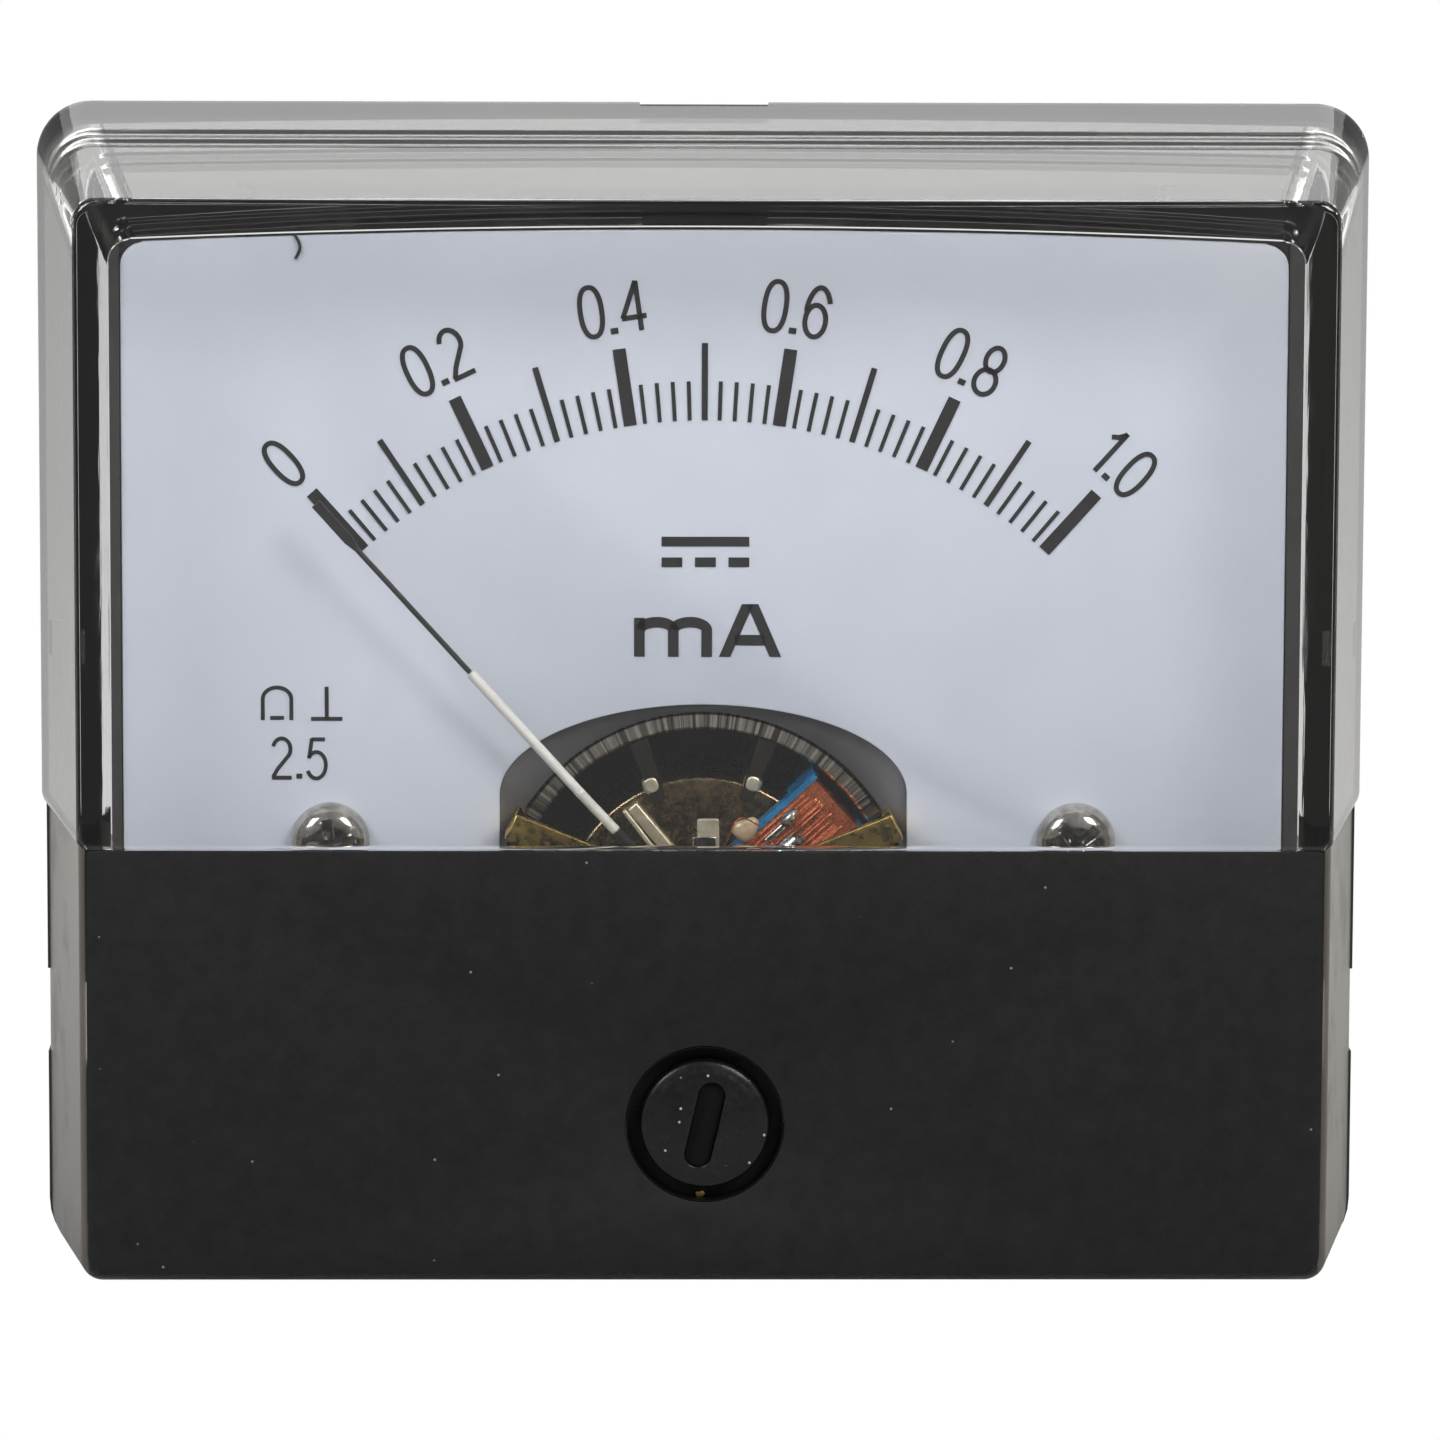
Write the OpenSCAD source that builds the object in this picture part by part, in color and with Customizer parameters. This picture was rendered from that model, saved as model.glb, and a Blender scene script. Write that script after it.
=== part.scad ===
// Moving-coil panel meter with a clear cover and an eccentric zero adjuster.
// +X is right, +Z is up, and the face looks along -Y.
// The origin is on the barrel's axis, at the flange's rear face, which seats on the panel.

/* [Cover] */
// Width of the cover's raised window section at its rim
cover_w = 58; // [57:0.5:60]
// Height of the cover at its rim
cover_h = 51.5; // [51:0.5:53]
// Height of the window's front above the panel
face_depth = 12.5; // [12:0.1:14]
// Thickness of the cover's walls
cover_wall = 1.3; // [1.1:0.05:1.5]
// How far each side wall leans in from rim to front
side_taper = 2.2; // [2:0.1:2.5]
// How far the top wall leans in from rim to front
top_taper = 3.5; // [3.1:0.1:3.8]
// How far the bottom wall leans in from rim to front
bottom_taper = 1.5; // [1.2:0.1:1.8]
// Radius of the cover's upper corners
top_corner_r = 2.4; // [2:0.1:3]
// Radius of the window's upper corners at the front
window_corner_r = 1; // [0.8:0.1:1.6]
// Radius of the cover's lower corners
bottom_corner_r = 2.8; // [2:0.1:3]
// Rounding of the window's front edge
edge_round = 0.25; // [0.15:0.05:0.5]
// Height of the step between window and lower section, from the barrel's axis
step_z = -5.5; // [-6:0.1:-5]
// How far the lower section's sides stand back from the window section's
step_inset = 0.3; // [0.2:0.05:0.5]
// How far the lower section's front stands back from the window's
step_depth = 0.4; // [0.3:0.05:0.6]
// Radius of the window section's two lower corners
step_corner_r = 1; // [0.6:0.1:1.4]
// Rise of the arch along the top of the cover's cavity
arch_rise = 0.6; // [0.3:0.1:0.8]
// Width of the nail scoop in the top of the rim
scoop_w = 5.6; // [4:0.2:7]
// Depth of the nail scoop at the rim
scoop_depth = 0.8; // [0.5:0.1:0.9]
// Width of the mould's gate mark on the top wall
gate_w = 3.9; // [3:0.1:5]
// Height of the two snaps that hold the cover on the tray
snap_w = 2; // [1.6:0.1:2.6]
// Height of the snaps' middle above the barrel's axis
snap_z = 2.5; // [1:0.25:4]
// Thickness of the black mask on the lower section
mask_t = 0.2; // [0.15:0.05:0.3]
// Margin between the mask and the lower section's edge
mask_margin = 0.05; // [0.05:0.05:0.3]

/* [Base] */
// Thickness of the base's flange
flange_t = 1.6; // [1.4:0.1:2]
// Margin by which the flange stays inside the cover's rim
flange_margin = 0.2; // [0.15:0.05:0.4]
// Outer radius of the barrel that passes through the panel
barrel_r = 22.25; // [21.5:0.25:22.5]
// Length of the barrel behind the panel
barrel_len = 20; // [19:0.5:24]
// Thickness of the barrel's wall
barrel_wall = 1.5; // [1.2:0.1:2]
// Thickness of the barrel's rear wall
rear_wall = 2; // [1.6:0.1:2.5]
// Thickness of the tray's wall under the cover
tray_wall = 1; // [0.8:0.05:1.3]
// Clearance between the tray and the cover's cavity
tray_gap = 0.3; // [0.2:0.05:0.5]
// Height of the two pry notches in the flange's sides
notch_h = 3.7; // [3:0.1:5]
// Depth of the pry notches
notch_depth = 0.9; // [0.5:0.1:1.2]
// Distance of the pry notches below the barrel's axis
notch_drop = 14.3; // [12:0.1:15]
// Radius of the screw bosses for dial and movement
boss_r = 2.1; // [1.8:0.1:2.3]

/* [Mounting studs] */
// Distance of the mounting studs from the rim's sides
stud_side_margin = 6; // [5.5:0.25:6.5]
// Distance of the mounting studs from the rim's top and bottom
stud_end_margin = 6.75; // [6.25:0.25:7]
// Radius of the mounting studs' thread
stud_r = 1.5; // [1.25:0.25:1.5]
// Length of the mounting studs behind the panel face
stud_len = 13; // [10:1:18]
// Radius of the studs' knurled shank in the flange
stud_shank_r = 2; // [1.8:0.1:2.2]

/* [Screws] */
// Radius of the screws for dial and movement
screw_r = 1; // [0.8:0.05:1]
// Height of the screws' pan heads
screw_head_t = 1.1; // [0.9:0.05:1.3]
// Radius of the dial screws' heads
dial_head_r = 1.73; // [1.5:0.01:1.9]
// Length of the dial screws under the head
dial_screw_len = 5; // [4:0.5:6]
// Radius of the movement screws' heads
frame_head_r = 1.8; // [1.6:0.05:1.9]
// Depth of the movement screws in the base
frame_screw_grip = 4; // [3:0.5:4.5]

/* [Terminals] */
// Distance between the two terminals
terminal_spacing = 20; // [18:0.5:22]
// Height of the terminals above the barrel's axis
terminal_z = 8; // [7:0.5:9]
// Radius of the terminal studs
terminal_r = 2; // [1.5:0.25:2.25]
// Length of the terminal studs behind the barrel
terminal_len = 12.5; // [12:0.5:18]
// Width across corners of the terminal nuts
terminal_nut_w = 8.1; // [7.6:0.1:8.6]
// Thickness of the terminal nuts
terminal_nut_t = 3; // [2.4:0.2:3.4]
// Outer radius of the terminal washers
washer_r = 4.4; // [4.3:0.1:4.8]
// Thickness of the terminal washers
washer_t = 0.7; // [0.5:0.1:1]

/* [Dial] */
// Clearance between the dial plate and the tray's wall
dial_gap = 0.05; // [0.05:0.05:0.3]
// Height of the dial's front above the panel
dial_height = 5.5; // [5.3:0.1:5.8]
// Thickness of the dial plate
dial_t = 0.5; // [0.4:0.05:0.6]
// Gap above the dial, under the tray's top wall
dial_top_gap = 0.6; // [0.4:0.1:1.2]
// Bottom of the dial below the barrel's axis
dial_drop = 12; // [10:0.5:14]
// Width of the dial's opening over the movement
opening_w = 17.6; // [17.5:0.1:18.4]
// Top of the dial's opening above the pointer's axis
opening_rise = 9.6; // [9.3:0.1:10.5]
// Radius of the opening's upper corners
opening_corner_r = 3.8; // [3:0.1:4.4]
// Distance between the two dial screws
dial_screw_spacing = 32.4; // [31:0.2:34]
// Distance of the dial screws below the barrel's axis
dial_screw_drop = 6.1; // [5.8:0.05:7]

/* [Scale] */
// Sweep of the scale from zero to full scale, in degrees
scale_sweep = 84; // [78:1:86]
// Number of divisions on the scale
scale_divisions = 50; // [50:10:50]
// Inner radius of the tick marks
tick_r = 22; // [21:0.1:22.6]
// Length of the main and half-way ticks
tick_long = 3.35; // [3:0.05:3.5]
// Length of the small ticks
tick_short = 1.7; // [1.4:0.05:2]
// Width of the main ticks
tick_main_w = 0.56; // [0.4:0.02:0.6]
// Width of the half-way ticks
tick_half_w = 0.26; // [0.2:0.02:0.36]
// Width of the small ticks
tick_small_w = 0.17; // [0.12:0.01:0.22]

/* [Movement] */
// Distance of the pointer's axis below the barrel's axis
axis_drop = 9.7; // [9.4:0.05:9.9]
// Outer radius of the iron yoke ring
ring_r = 9.1; // [8.9:0.05:9.1]
// Inner radius of the iron yoke ring
ring_inner_r = 8.3; // [8.25:0.05:8.4]
// Length of the yoke ring along its axis
ring_len = 8.5; // [8:0.1:9.5]
// Radius of the core magnet
core_r = 6.15; // [5.9:0.05:6.15]
// How far the core stands back at each end of the ring
core_inset = 0.4; // [0.3:0.05:0.6]
// Gap between the dial plate and the yoke ring
ring_gap = 1; // [0.8:0.1:1.4]
// Angle of the core's fingers from the vertical, in degrees
finger_angle = 20; // [17:1:20]
// Thickness of the lugs turned over the core's front
lug_t = 0.4; // [0.3:0.05:0.5]
// Thickness of the movement frame's floor
frame_floor_t = 1.2; // [1:0.1:1.5]
// Angle of the ears above the horizontal, in degrees
ear_angle = 28.5; // [27:0.5:29]
// Distance of the movement screws from the pointer's axis
ear_reach = 12.3; // [12.1:0.1:12.6]
// Width of the front bridge's arms and legs
bridge_w = 1.2; // [1:0.05:1.3]
// Thickness of the front bridge
bridge_t = 0.6; // [0.5:0.05:0.7]
// Height above the pointer's axis at which the bridge's two arms meet
bridge_rise = 1.15; // [0.8:0.05:1.4]
// Radius of the jewel screws
jewel_screw_r = 1.2; // [1:0.05:1.3]

/* [Moving coil] */
// Width of the coil former across the winding
coil_w = 3.3; // [3:0.05:3.3]
// Clearance between the coil former and the core
coil_gap = 0.3; // [0.25:0.01:0.35]
// Thickness of the coil former
former_t = 0.25; // [0.2:0.01:0.27]
// Thickness of the winding at the coil's sides
winding_side_t = 1.1; // [0.9:0.05:1.1]
// Thickness of the winding at the coil's ends
winding_end_t = 0.65; // [0.5:0.05:0.7]
// Thickness of the former's two flanges
former_flange_t = 0.25; // [0.2:0.01:0.3]
// Radius of the pivots' shafts
pivot_r = 0.3; // [0.25:0.01:0.34]
// Turns of each hairspring
spring_turns = 5; // [4:1:6]
// Thickness of the hairspring strip
spring_strip_t = 0.1; // [0.08:0.01:0.12]
// Width of the hairspring strip along the axis
spring_strip_w = 0.3; // [0.25:0.01:0.35]
// Outer radius of the hairsprings
spring_outer_r = 3.5; // [3.2:0.05:3.6]

/* [Pointer] */
// Reach of the pointer's tip from its axis
pointer_len = 25; // [24:0.1:25.5]
// Reach of the pointer's tube from its axis
tube_reach = 15.1; // [13.5:0.1:16]
// Radius of the pointer's tube
tube_r = 0.22; // [0.18:0.01:0.24]
// Reach at which the tube bends level with the dial
bend_reach = 8; // [7.6:0.1:9]
// Height of the tube above the dial at its bend
bend_height = 1.5; // [1.3:0.05:1.6]
// Height of the pointer's tip above the dial
tip_height = 2.1; // [1.8:0.1:2.4]
// Radius of the needle
needle_r = 0.12; // [0.1:0.01:0.15]
// Width of the flattened tip
blade_w = 0.43; // [0.35:0.01:0.5]
// Length of the flattened tip
blade_len = 2.6; // [2:0.1:3.5]
// Reach of the balance weights from the axis
balance_reach = 4.8; // [4.4:0.1:5]
// Radius of the two side weights
balance_r = 0.42; // [0.35:0.01:0.44]
// Length of the two side weights
balance_len = 1.4; // [1:0.1:1.6]
// Radius of the tail weight
tail_weight_r = 0.85; // [0.8:0.01:0.9]
// Length of the tail weight
tail_weight_len = 2.4; // [2:0.1:2.6]

/* [Zero adjuster] */
// Radius of the zero lever's hub
lever_hub_r = 2.1; // [1.9:0.05:2.3]
// Distance of the adjuster below the pointer's axis
adjuster_drop = 7.7; // [7.5:0.1:8]
// Radius of the adjuster's head
adjuster_r = 2.78; // [2.6:0.02:2.9]
// Radius of the hole around the adjuster's head
adjuster_hole_r = 3.4; // [3.2:0.05:3.6]
// Depth of the hole around the adjuster's head
adjuster_hole_depth = 0.9; // [0.8:0.05:1]
// Height of the domed head above the mask
adjuster_dome = 0.35; // [0.2:0.05:0.5]
// Radius of the adjuster's stem
stem_r = 1.8; // [1.7:0.05:1.9]
// Radial running clearance of stem, lever and pin
run_gap = 0.06; // [0.04:0.01:0.08]
// Width of the screwdriver slot
slot_w = 1.15; // [1:0.05:1.3]
// Length of the screwdriver slot
slot_len = 3.75; // [3.4:0.05:4.2]
// Depth of the screwdriver slot
slot_depth = 0.8; // [0.6:0.05:0.9]
// Lean of the screwdriver slot to the right, in degrees
slot_lean = 13; // [0:1:45]
// Eccentricity of the adjuster's pin
pin_throw = 0.9; // [0.7:0.05:1]
// Radius of the adjuster's pin
pin_r = 0.45; // [0.4:0.01:0.5]
// Thickness of the zero lever
lever_t = 0.4; // [0.3:0.05:0.5]
// Reach of the lever's upper tail, which holds the front hairspring
tail_reach = 4.2; // [4.1:0.05:4.4]
// Length of the lever's fork past the pin
fork_past = 1.1; // [0.8:0.1:1.4]

/* [Hidden] */
$fn = 48;

// Overlap that makes a cut pass right through
past = 0.5;
// Gap between faces that meet without being fused
seat_gap = 0.02;

// Planes along the depth, from the front to the rear
window_y = -face_depth;
lower_y = window_y + step_depth;
window_inner_y = window_y + cover_wall;
lower_inner_y = lower_y + cover_wall;
rim_y = -flange_t;
dial_y = -dial_height;
dial_rear_y = dial_y + dial_t;
tray_y = dial_y - 0.1;
ring_y = dial_rear_y + ring_gap;
ring_rear_y = ring_y + ring_len;
core_y = ring_y + core_inset;
core_rear_y = ring_rear_y - core_inset;
lug_y = core_y - lug_t;
coil_inner_y = lug_y - coil_gap;
coil_inner_rear_y = core_rear_y + lug_t + coil_gap;
former_lip = 0.1;
coil_y = coil_inner_y - former_t - winding_end_t - former_lip;
coil_rear_y = coil_inner_rear_y + former_t + winding_end_t + former_lip;
pivot_base_t = 0.25;
hub_t = 0.4;
hub_rear_y = coil_y - pivot_base_t;
hub_y = hub_rear_y - hub_t;
spring_rear_y = hub_y - 0.65;
spring_y = spring_rear_y - spring_strip_w;
bridge_rear_y = spring_y - 0.1;
bridge_y = bridge_rear_y - bridge_t;
lever_rear_y = bridge_y - 0.1;
lever_y = lever_rear_y - lever_t;
lock_nut_t = 0.65;
lock_nut_rear_y = lever_y - 0.15;
lock_nut_y = lock_nut_rear_y - lock_nut_t;
stem_end_y = lever_y - 0.4;
rear_spring_y = coil_rear_y + pivot_base_t + 0.5;
rear_spring_rear_y = rear_spring_y + spring_strip_w;
frame_boss_y = rear_spring_rear_y + 0.1;
frame_floor_y = frame_boss_y + 0.75;
frame_rear_y = frame_floor_y + frame_floor_t;
barrel_floor_y = barrel_len - rear_wall;

// Heights and half widths of the cover and its cavity
cover_half = cover_w / 2;
cover_top = cover_h / 2;
lower_half = cover_half - step_inset;
front_half = cover_half - side_taper;
lower_front_half = lower_half - side_taper + 0.25;
front_top = cover_top - top_taper;
front_bottom = -cover_top + bottom_taper;
cavity_half = lower_half - cover_wall;
cavity_front_half = front_half - cover_wall - 0.1;
cavity_top = cover_top - cover_wall;
cavity_front_top = front_top - cover_wall + 0.2;
cavity_front_bottom = front_bottom + cover_wall;
cavity_share = (rim_y - tray_y) / (rim_y - lower_inner_y);
tray_half = cavity_half + (cavity_front_half - cavity_half) * cavity_share - tray_gap;
tray_top = cavity_top - arch_rise + (cavity_front_top - cavity_top) * cavity_share - tray_gap;
tray_bottom = -cavity_top + (cavity_front_bottom + cavity_top) * cavity_share + tray_gap;
dial_half = tray_half - tray_wall - dial_gap;
dial_top = tray_top - tray_wall - dial_top_gap;
snap_y = rim_y - 1.6;
snap_in = cavity_half + (cavity_front_half - cavity_half) * (rim_y - snap_y) / (rim_y - lower_inner_y)
    + 0.15 - tray_half;
flange_half = cover_half - flange_margin;
flange_top = cover_top - flange_margin;

// Axes and angles
axis_z = -axis_drop;
adjuster_z = axis_z - adjuster_drop;
zero_angle = -scale_sweep / 2;
terminal_x = terminal_spacing / 2;
dial_screw_x = dial_screw_spacing / 2;
ear_x = ear_reach * cos(ear_angle);
ear_z = axis_z + ear_reach * sin(ear_angle);
stud_x = cover_half - stud_side_margin;
stud_z = cover_top - stud_end_margin;
stud_boss_r = stud_shank_r + 1.2;

// Sizes of the coil, worked out from the core
coil_inner_r = core_r + coil_gap;
winding_r = coil_inner_r + former_t + winding_side_t;
coil_r = winding_r + 0.15;
bridge_leg_t = 0.38;
bridge_leg_r = ring_r + seat_gap;
bridge_hub_r = 2.2;
lock_nut_r = 2;
jewel_r = 0.7;
jewel_t = 0.6;
collet_r = 0.85;
tag_t = 0.4;

// Points of an arc, from angle a to angle b
function arc(c, r, a, b, n = 8) = [
    for (i = [0:n]) let(turn = a + (b - a) * i / n) c + r * [cos(turn), sin(turn)]
];

// Outline of a box with rounded corners, larger radii at the top or the bottom
function rounded(half, low, high, r_top, r_low) = concat(
    arc([half - r_top, high - r_top], r_top, 0, 90),
    arc([r_top - half, high - r_top], r_top, 90, 180),
    arc([r_low - half, low + r_low], r_low, 180, 270),
    arc([half - r_low, low + r_low], r_low, 270, 360)
);

// Outline with a top edge that rises in an arch towards its middle
function arched(half, low, high, rise, r, n = 16) = concat(
    [for (i = [0:n]) let(x = half - r - 2 * (half - r) * i / n) [x, high - rise * pow(x / half, 2)]],
    arc([r - half, high - rise - r], r, 100, 180, 6),
    arc([r - half, low + r], r, 180, 270),
    arc([half - r, low + r], r, 270, 360),
    arc([half - r, high - rise - r], r, 0, 80, 6)
);

// Outline of a ring's sector
function sector(r_in, r_out, a, b, n = 8) = concat(arc([0, 0], r_out, a, b, n), arc([0, 0], r_in, b, a, n));

// Outline of a strip wound in a flat spiral
function spiral(r_in, r_out, turns, t, n = 24) = let(
    count = turns * n,
    centre = [for (i = [0:count]) [r_in + (r_out - r_in) * i / count, 360 * i / n]]
) concat(
    [for (p = centre) (p[0] + t / 2) * [cos(p[1]), sin(p[1])]],
    [for (i = [count:-1:0]) (centre[i][0] - t / 2) * [cos(centre[i][1]), sin(centre[i][1])]]
);

// A flat outline drawn in X and Z, thick from rear_y forward to front_y
module slab(rear_y, front_y) {
    translate([0, rear_y, 0])
        rotate([90, 0, 0])
            linear_extrude(height = rear_y - front_y)
                children();
}

// A round bar along Y, from rear_y forward to front_y
module bar(r, rear_y, front_y, x = 0, z = 0) {
    translate([x, rear_y, z])
        rotate([90, 0, 0])
            cylinder(r = r, h = rear_y - front_y);
}

// A body turned about the Y axis from an outline of radius against depth towards the front
module turned(rear_y, x = 0, z = 0) {
    translate([x, rear_y, z])
        rotate([90, 0, 0])
            rotate_extrude()
                children();
}

// A hexagonal nut along Y with a round hole
module hex_nut(corner_r, hole_r, rear_y, front_y, x = 0, z = 0) {
    difference() {
        translate([x, rear_y, z])
            rotate([90, 0, 0])
                cylinder(r = corner_r, h = rear_y - front_y, $fn = 6);
        bar(hole_r, rear_y + past, front_y - past, x, z);
    }
}

// A solid through a row of outlines that have the same number of points
module loft(sections) {
    n = len(sections[0][1]);
    last = len(sections) - 1;
    polyhedron(
        points = [for (s = sections) for (p = s[1]) [p[0], s[0], p[1]]],
        faces = concat(
            [[for (i = [0:n - 1]) i]],
            [[for (i = [n - 1:-1:0]) last * n + i]],
            [for (k = [0:last - 1]) for (i = [0:n - 1]) [k * n + i, (k + 1) * n + i, k * n + (i + 1) % n]],
            [for (k = [0:last - 1]) for (i = [0:n - 1])
                [k * n + (i + 1) % n, (k + 1) * n + i, (k + 1) * n + (i + 1) % n]]
        )
    );
}

// Whatever turns with the pointer, drawn as if it pointed straight up
module on_axis(angle = 0) {
    translate([0, 0, axis_z])
        rotate([0, angle, 0])
            children();
}

// Both of a pair, to the left and to the right
module pair() {
    children();
    mirror([1, 0, 0])
        children();
}

// ---- Case ----

function window_outline(inset, y) = let(share = (rim_y - y) / (rim_y - window_y)) rounded(
    cover_half - side_taper * share - inset,
    step_z,
    cover_top - top_taper * share - inset,
    top_corner_r + (window_corner_r - top_corner_r) * share,
    step_corner_r
);

function lower_outline(inset, y) = let(share = (rim_y - y) / (rim_y - lower_y)) rounded(
    lower_half + (lower_front_half - lower_half) * share - inset,
    -cover_top + bottom_taper * share + inset,
    step_z + cover_wall,
    0.3,
    bottom_corner_r
);

module cover_shell() {
    union() {
        loft([
            [rim_y, window_outline(0, rim_y)],
            [window_y + edge_round, window_outline(0, window_y + edge_round)],
            [window_y + edge_round * 0.3, window_outline(edge_round * 0.3, window_y)],
            [window_y, window_outline(edge_round, window_y)]
        ]);
        loft([
            [rim_y, lower_outline(0, rim_y)],
            [lower_y + edge_round, lower_outline(0, lower_y + edge_round)],
            [lower_y + edge_round * 0.3, lower_outline(edge_round * 0.3, lower_y)],
            [lower_y, lower_outline(edge_round, lower_y)]
        ]);
    }
}

module cover_cavity() {
    loft([
        [rim_y + past, arched(cavity_half, -cavity_top, cavity_top, arch_rise, 1.2)],
        [lower_inner_y, arched(cavity_front_half, cavity_front_bottom, cavity_front_top, arch_rise, 1.2)]
    ]);
    slab(lower_inner_y + past, window_inner_y)
        polygon(arched(cavity_front_half, step_z - 0.9, cavity_front_top, arch_rise, 1));
}

module front_cover() {
    adjuster_floor_y = lower_y + adjuster_hole_depth;
    color([0.86, 0.88, 0.86, 0.35])
        difference() {
            union() {
                difference() {
                    cover_shell();
                    cover_cavity();
                }
                bar(adjuster_hole_r + 0.4, stem_end_y - 0.7, lower_inner_y - 0.2, 0, adjuster_z);
            }
            bar(adjuster_hole_r, adjuster_floor_y, lower_y - past, 0, adjuster_z);
            bar(stem_r + run_gap, rim_y, lower_y, 0, adjuster_z);
            // Recesses of the two snaps in the side walls
            pair()
                translate([tray_half, snap_y - 0.7, snap_z - snap_w / 2])
                    cube([snap_in + 0.2, 1.4, snap_w]);
            // Nail scoop in the rim's top
            translate([0, rim_y, cover_top - scoop_depth])
                cylinder(r = scoop_w / 2, h = cover_wall);
            // Gate mark on the sloping top wall
            translate([-gate_w / 2, window_y + 1.6, front_top + 0.35])
                cube([gate_w, 2.2, cover_wall]);
        }
}

module face_mask() {
    color([0.07, 0.07, 0.07])
        difference() {
            slab(lower_y - seat_gap, lower_y - mask_t)
                polygon(rounded(
                    lower_front_half - edge_round - mask_margin,
                    front_bottom + edge_round + mask_margin,
                    step_z - mask_margin,
                    0.3,
                    bottom_corner_r - mask_margin
                ));
            bar(adjuster_hole_r, lower_y + past, lower_y - mask_t - past, 0, adjuster_z);
        }
}

module flange() {
    difference() {
        slab(0, -flange_t)
            polygon(rounded(flange_half, -flange_top, flange_top, top_corner_r, bottom_corner_r));
        pair()
            translate([flange_half - notch_depth, -flange_t - past, -notch_drop - notch_h / 2])
                cube([notch_depth + past, flange_t + 2 * past, notch_h]);
    }
}

module tray() {
    slab(-flange_t + past, tray_y)
        difference() {
            polygon(rounded(tray_half, tray_bottom, tray_top, 2, 2));
            polygon(rounded(tray_half - tray_wall, tray_bottom + tray_wall, tray_top - tray_wall, 1, 1));
        }
    // Nibs that snap into the cover's side walls
    pair()
        translate([tray_half - tray_wall / 2, snap_y - 0.4, snap_z - snap_w / 2 + 0.25])
            cube([tray_wall / 2 + snap_in, 0.8, snap_w - 0.5]);
}

module dial_post() {
    reach = norm([dial_screw_x, dial_screw_drop]);
    lean = atan2(dial_screw_drop, dial_screw_x);
    bar(boss_r, barrel_floor_y + past, dial_rear_y, dial_screw_x, -dial_screw_drop);
    // Rib that ties the post to the barrel's wall
    rotate([0, lean, 0])
        translate([reach, dial_rear_y + 2, -0.6])
            cube([barrel_r - reach - barrel_wall / 2, barrel_floor_y - dial_rear_y - 2 + past, 1.2]);
}

module base_housing() {
    screw_hole_r = screw_r + seat_gap;
    sign_w = 2.8;
    sign_z = terminal_z + washer_r + 2.2;
    color([0.09, 0.09, 0.09])
        difference() {
            union() {
                difference() {
                    union() {
                        flange();
                        tray();
                        bar(barrel_r, barrel_len, -past, 0, 0);
                        pair()
                            for (z = [-1, 1])
                                bar(stud_boss_r, 0, -flange_t - 2.8, stud_x, z * stud_z);
                    }
                    bar(barrel_r - barrel_wall, barrel_floor_y, -flange_t - past, 0, 0);
                }
                pair()
                    dial_post();
                pair()
                    bar(boss_r, barrel_floor_y + past, frame_rear_y, ear_x, ear_z);
                // Rib between the two terminals on the rear wall
                translate([-0.75, barrel_len - past, terminal_z - 5])
                    cube([1.5, past + 2.5, 10]);
                // Raised signs for the two poles
                pair()
                    translate([terminal_x - sign_w / 2, barrel_len - past, sign_z - 0.4])
                        cube([sign_w, past + 0.35, 0.8]);
                translate([terminal_x - 0.4, barrel_len - past, sign_z - sign_w / 2])
                    cube([0.8, past + 0.35, sign_w]);
            }
            // Marks of the ejector pins on the rear wall
            pair()
                for (z = [-13, -3])
                    bar(1.6, barrel_len + past, barrel_len - 0.2, 11, z);
            pair() {
                bar(
                    screw_hole_r, dial_y + dial_screw_len + 1, dial_rear_y - past,
                    dial_screw_x, -dial_screw_drop
                );
                bar(screw_hole_r, frame_rear_y + frame_screw_grip + 1, frame_rear_y - past, ear_x, ear_z);
                bar(
                    terminal_r + seat_gap, barrel_len + past, barrel_floor_y - past,
                    terminal_x, terminal_z
                );
                for (z = [-1, 1])
                    bar(
                        stud_shank_r + seat_gap, past, -flange_t - 2.4,
                        stud_x, z * stud_z
                    );
            }
        }
}

module mounting_studs() {
    color([0.78, 0.76, 0.7])
        pair()
            for (z = [-1, 1])
                turned(stud_len, stud_x, z * stud_z)
                    polygon([
                        [0, 0],
                        [stud_r - 0.3, 0],
                        [stud_r, 0.3],
                        [stud_r, stud_len],
                        [stud_shank_r, stud_len],
                        [stud_shank_r, stud_len + flange_t + 2.3],
                        [0, stud_len + flange_t + 2.3]
                    ]);
}

module terminal_studs() {
    head_t = 2;
    color([0.8, 0.68, 0.4])
        pair()
            union() {
                bar(terminal_r, barrel_len + terminal_len, barrel_floor_y - tag_t, terminal_x, terminal_z);
                translate([terminal_x, barrel_floor_y - tag_t, terminal_z])
                    rotate([90, 0, 0])
                        cylinder(r = terminal_r + 1.6, h = head_t, $fn = 6);
            }
}

module terminal_washers() {
    color([0.75, 0.75, 0.73])
        pair()
            for (i = [0, 1])
                let(y = barrel_len + i * (washer_t + terminal_nut_t))
                    difference() {
                        bar(washer_r, y + washer_t, y, terminal_x, terminal_z);
                        bar(terminal_r + 0.1, y + washer_t + past, y - past, terminal_x, terminal_z);
                    }
}

module terminal_nuts() {
    color([0.8, 0.68, 0.4])
        pair()
            for (i = [0, 1])
                let(y = barrel_len + washer_t + i * (washer_t + terminal_nut_t))
                    hex_nut(
                        terminal_nut_w / 2, terminal_r + seat_gap, y + terminal_nut_t, y,
                        terminal_x, terminal_z
                    );
}

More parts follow.
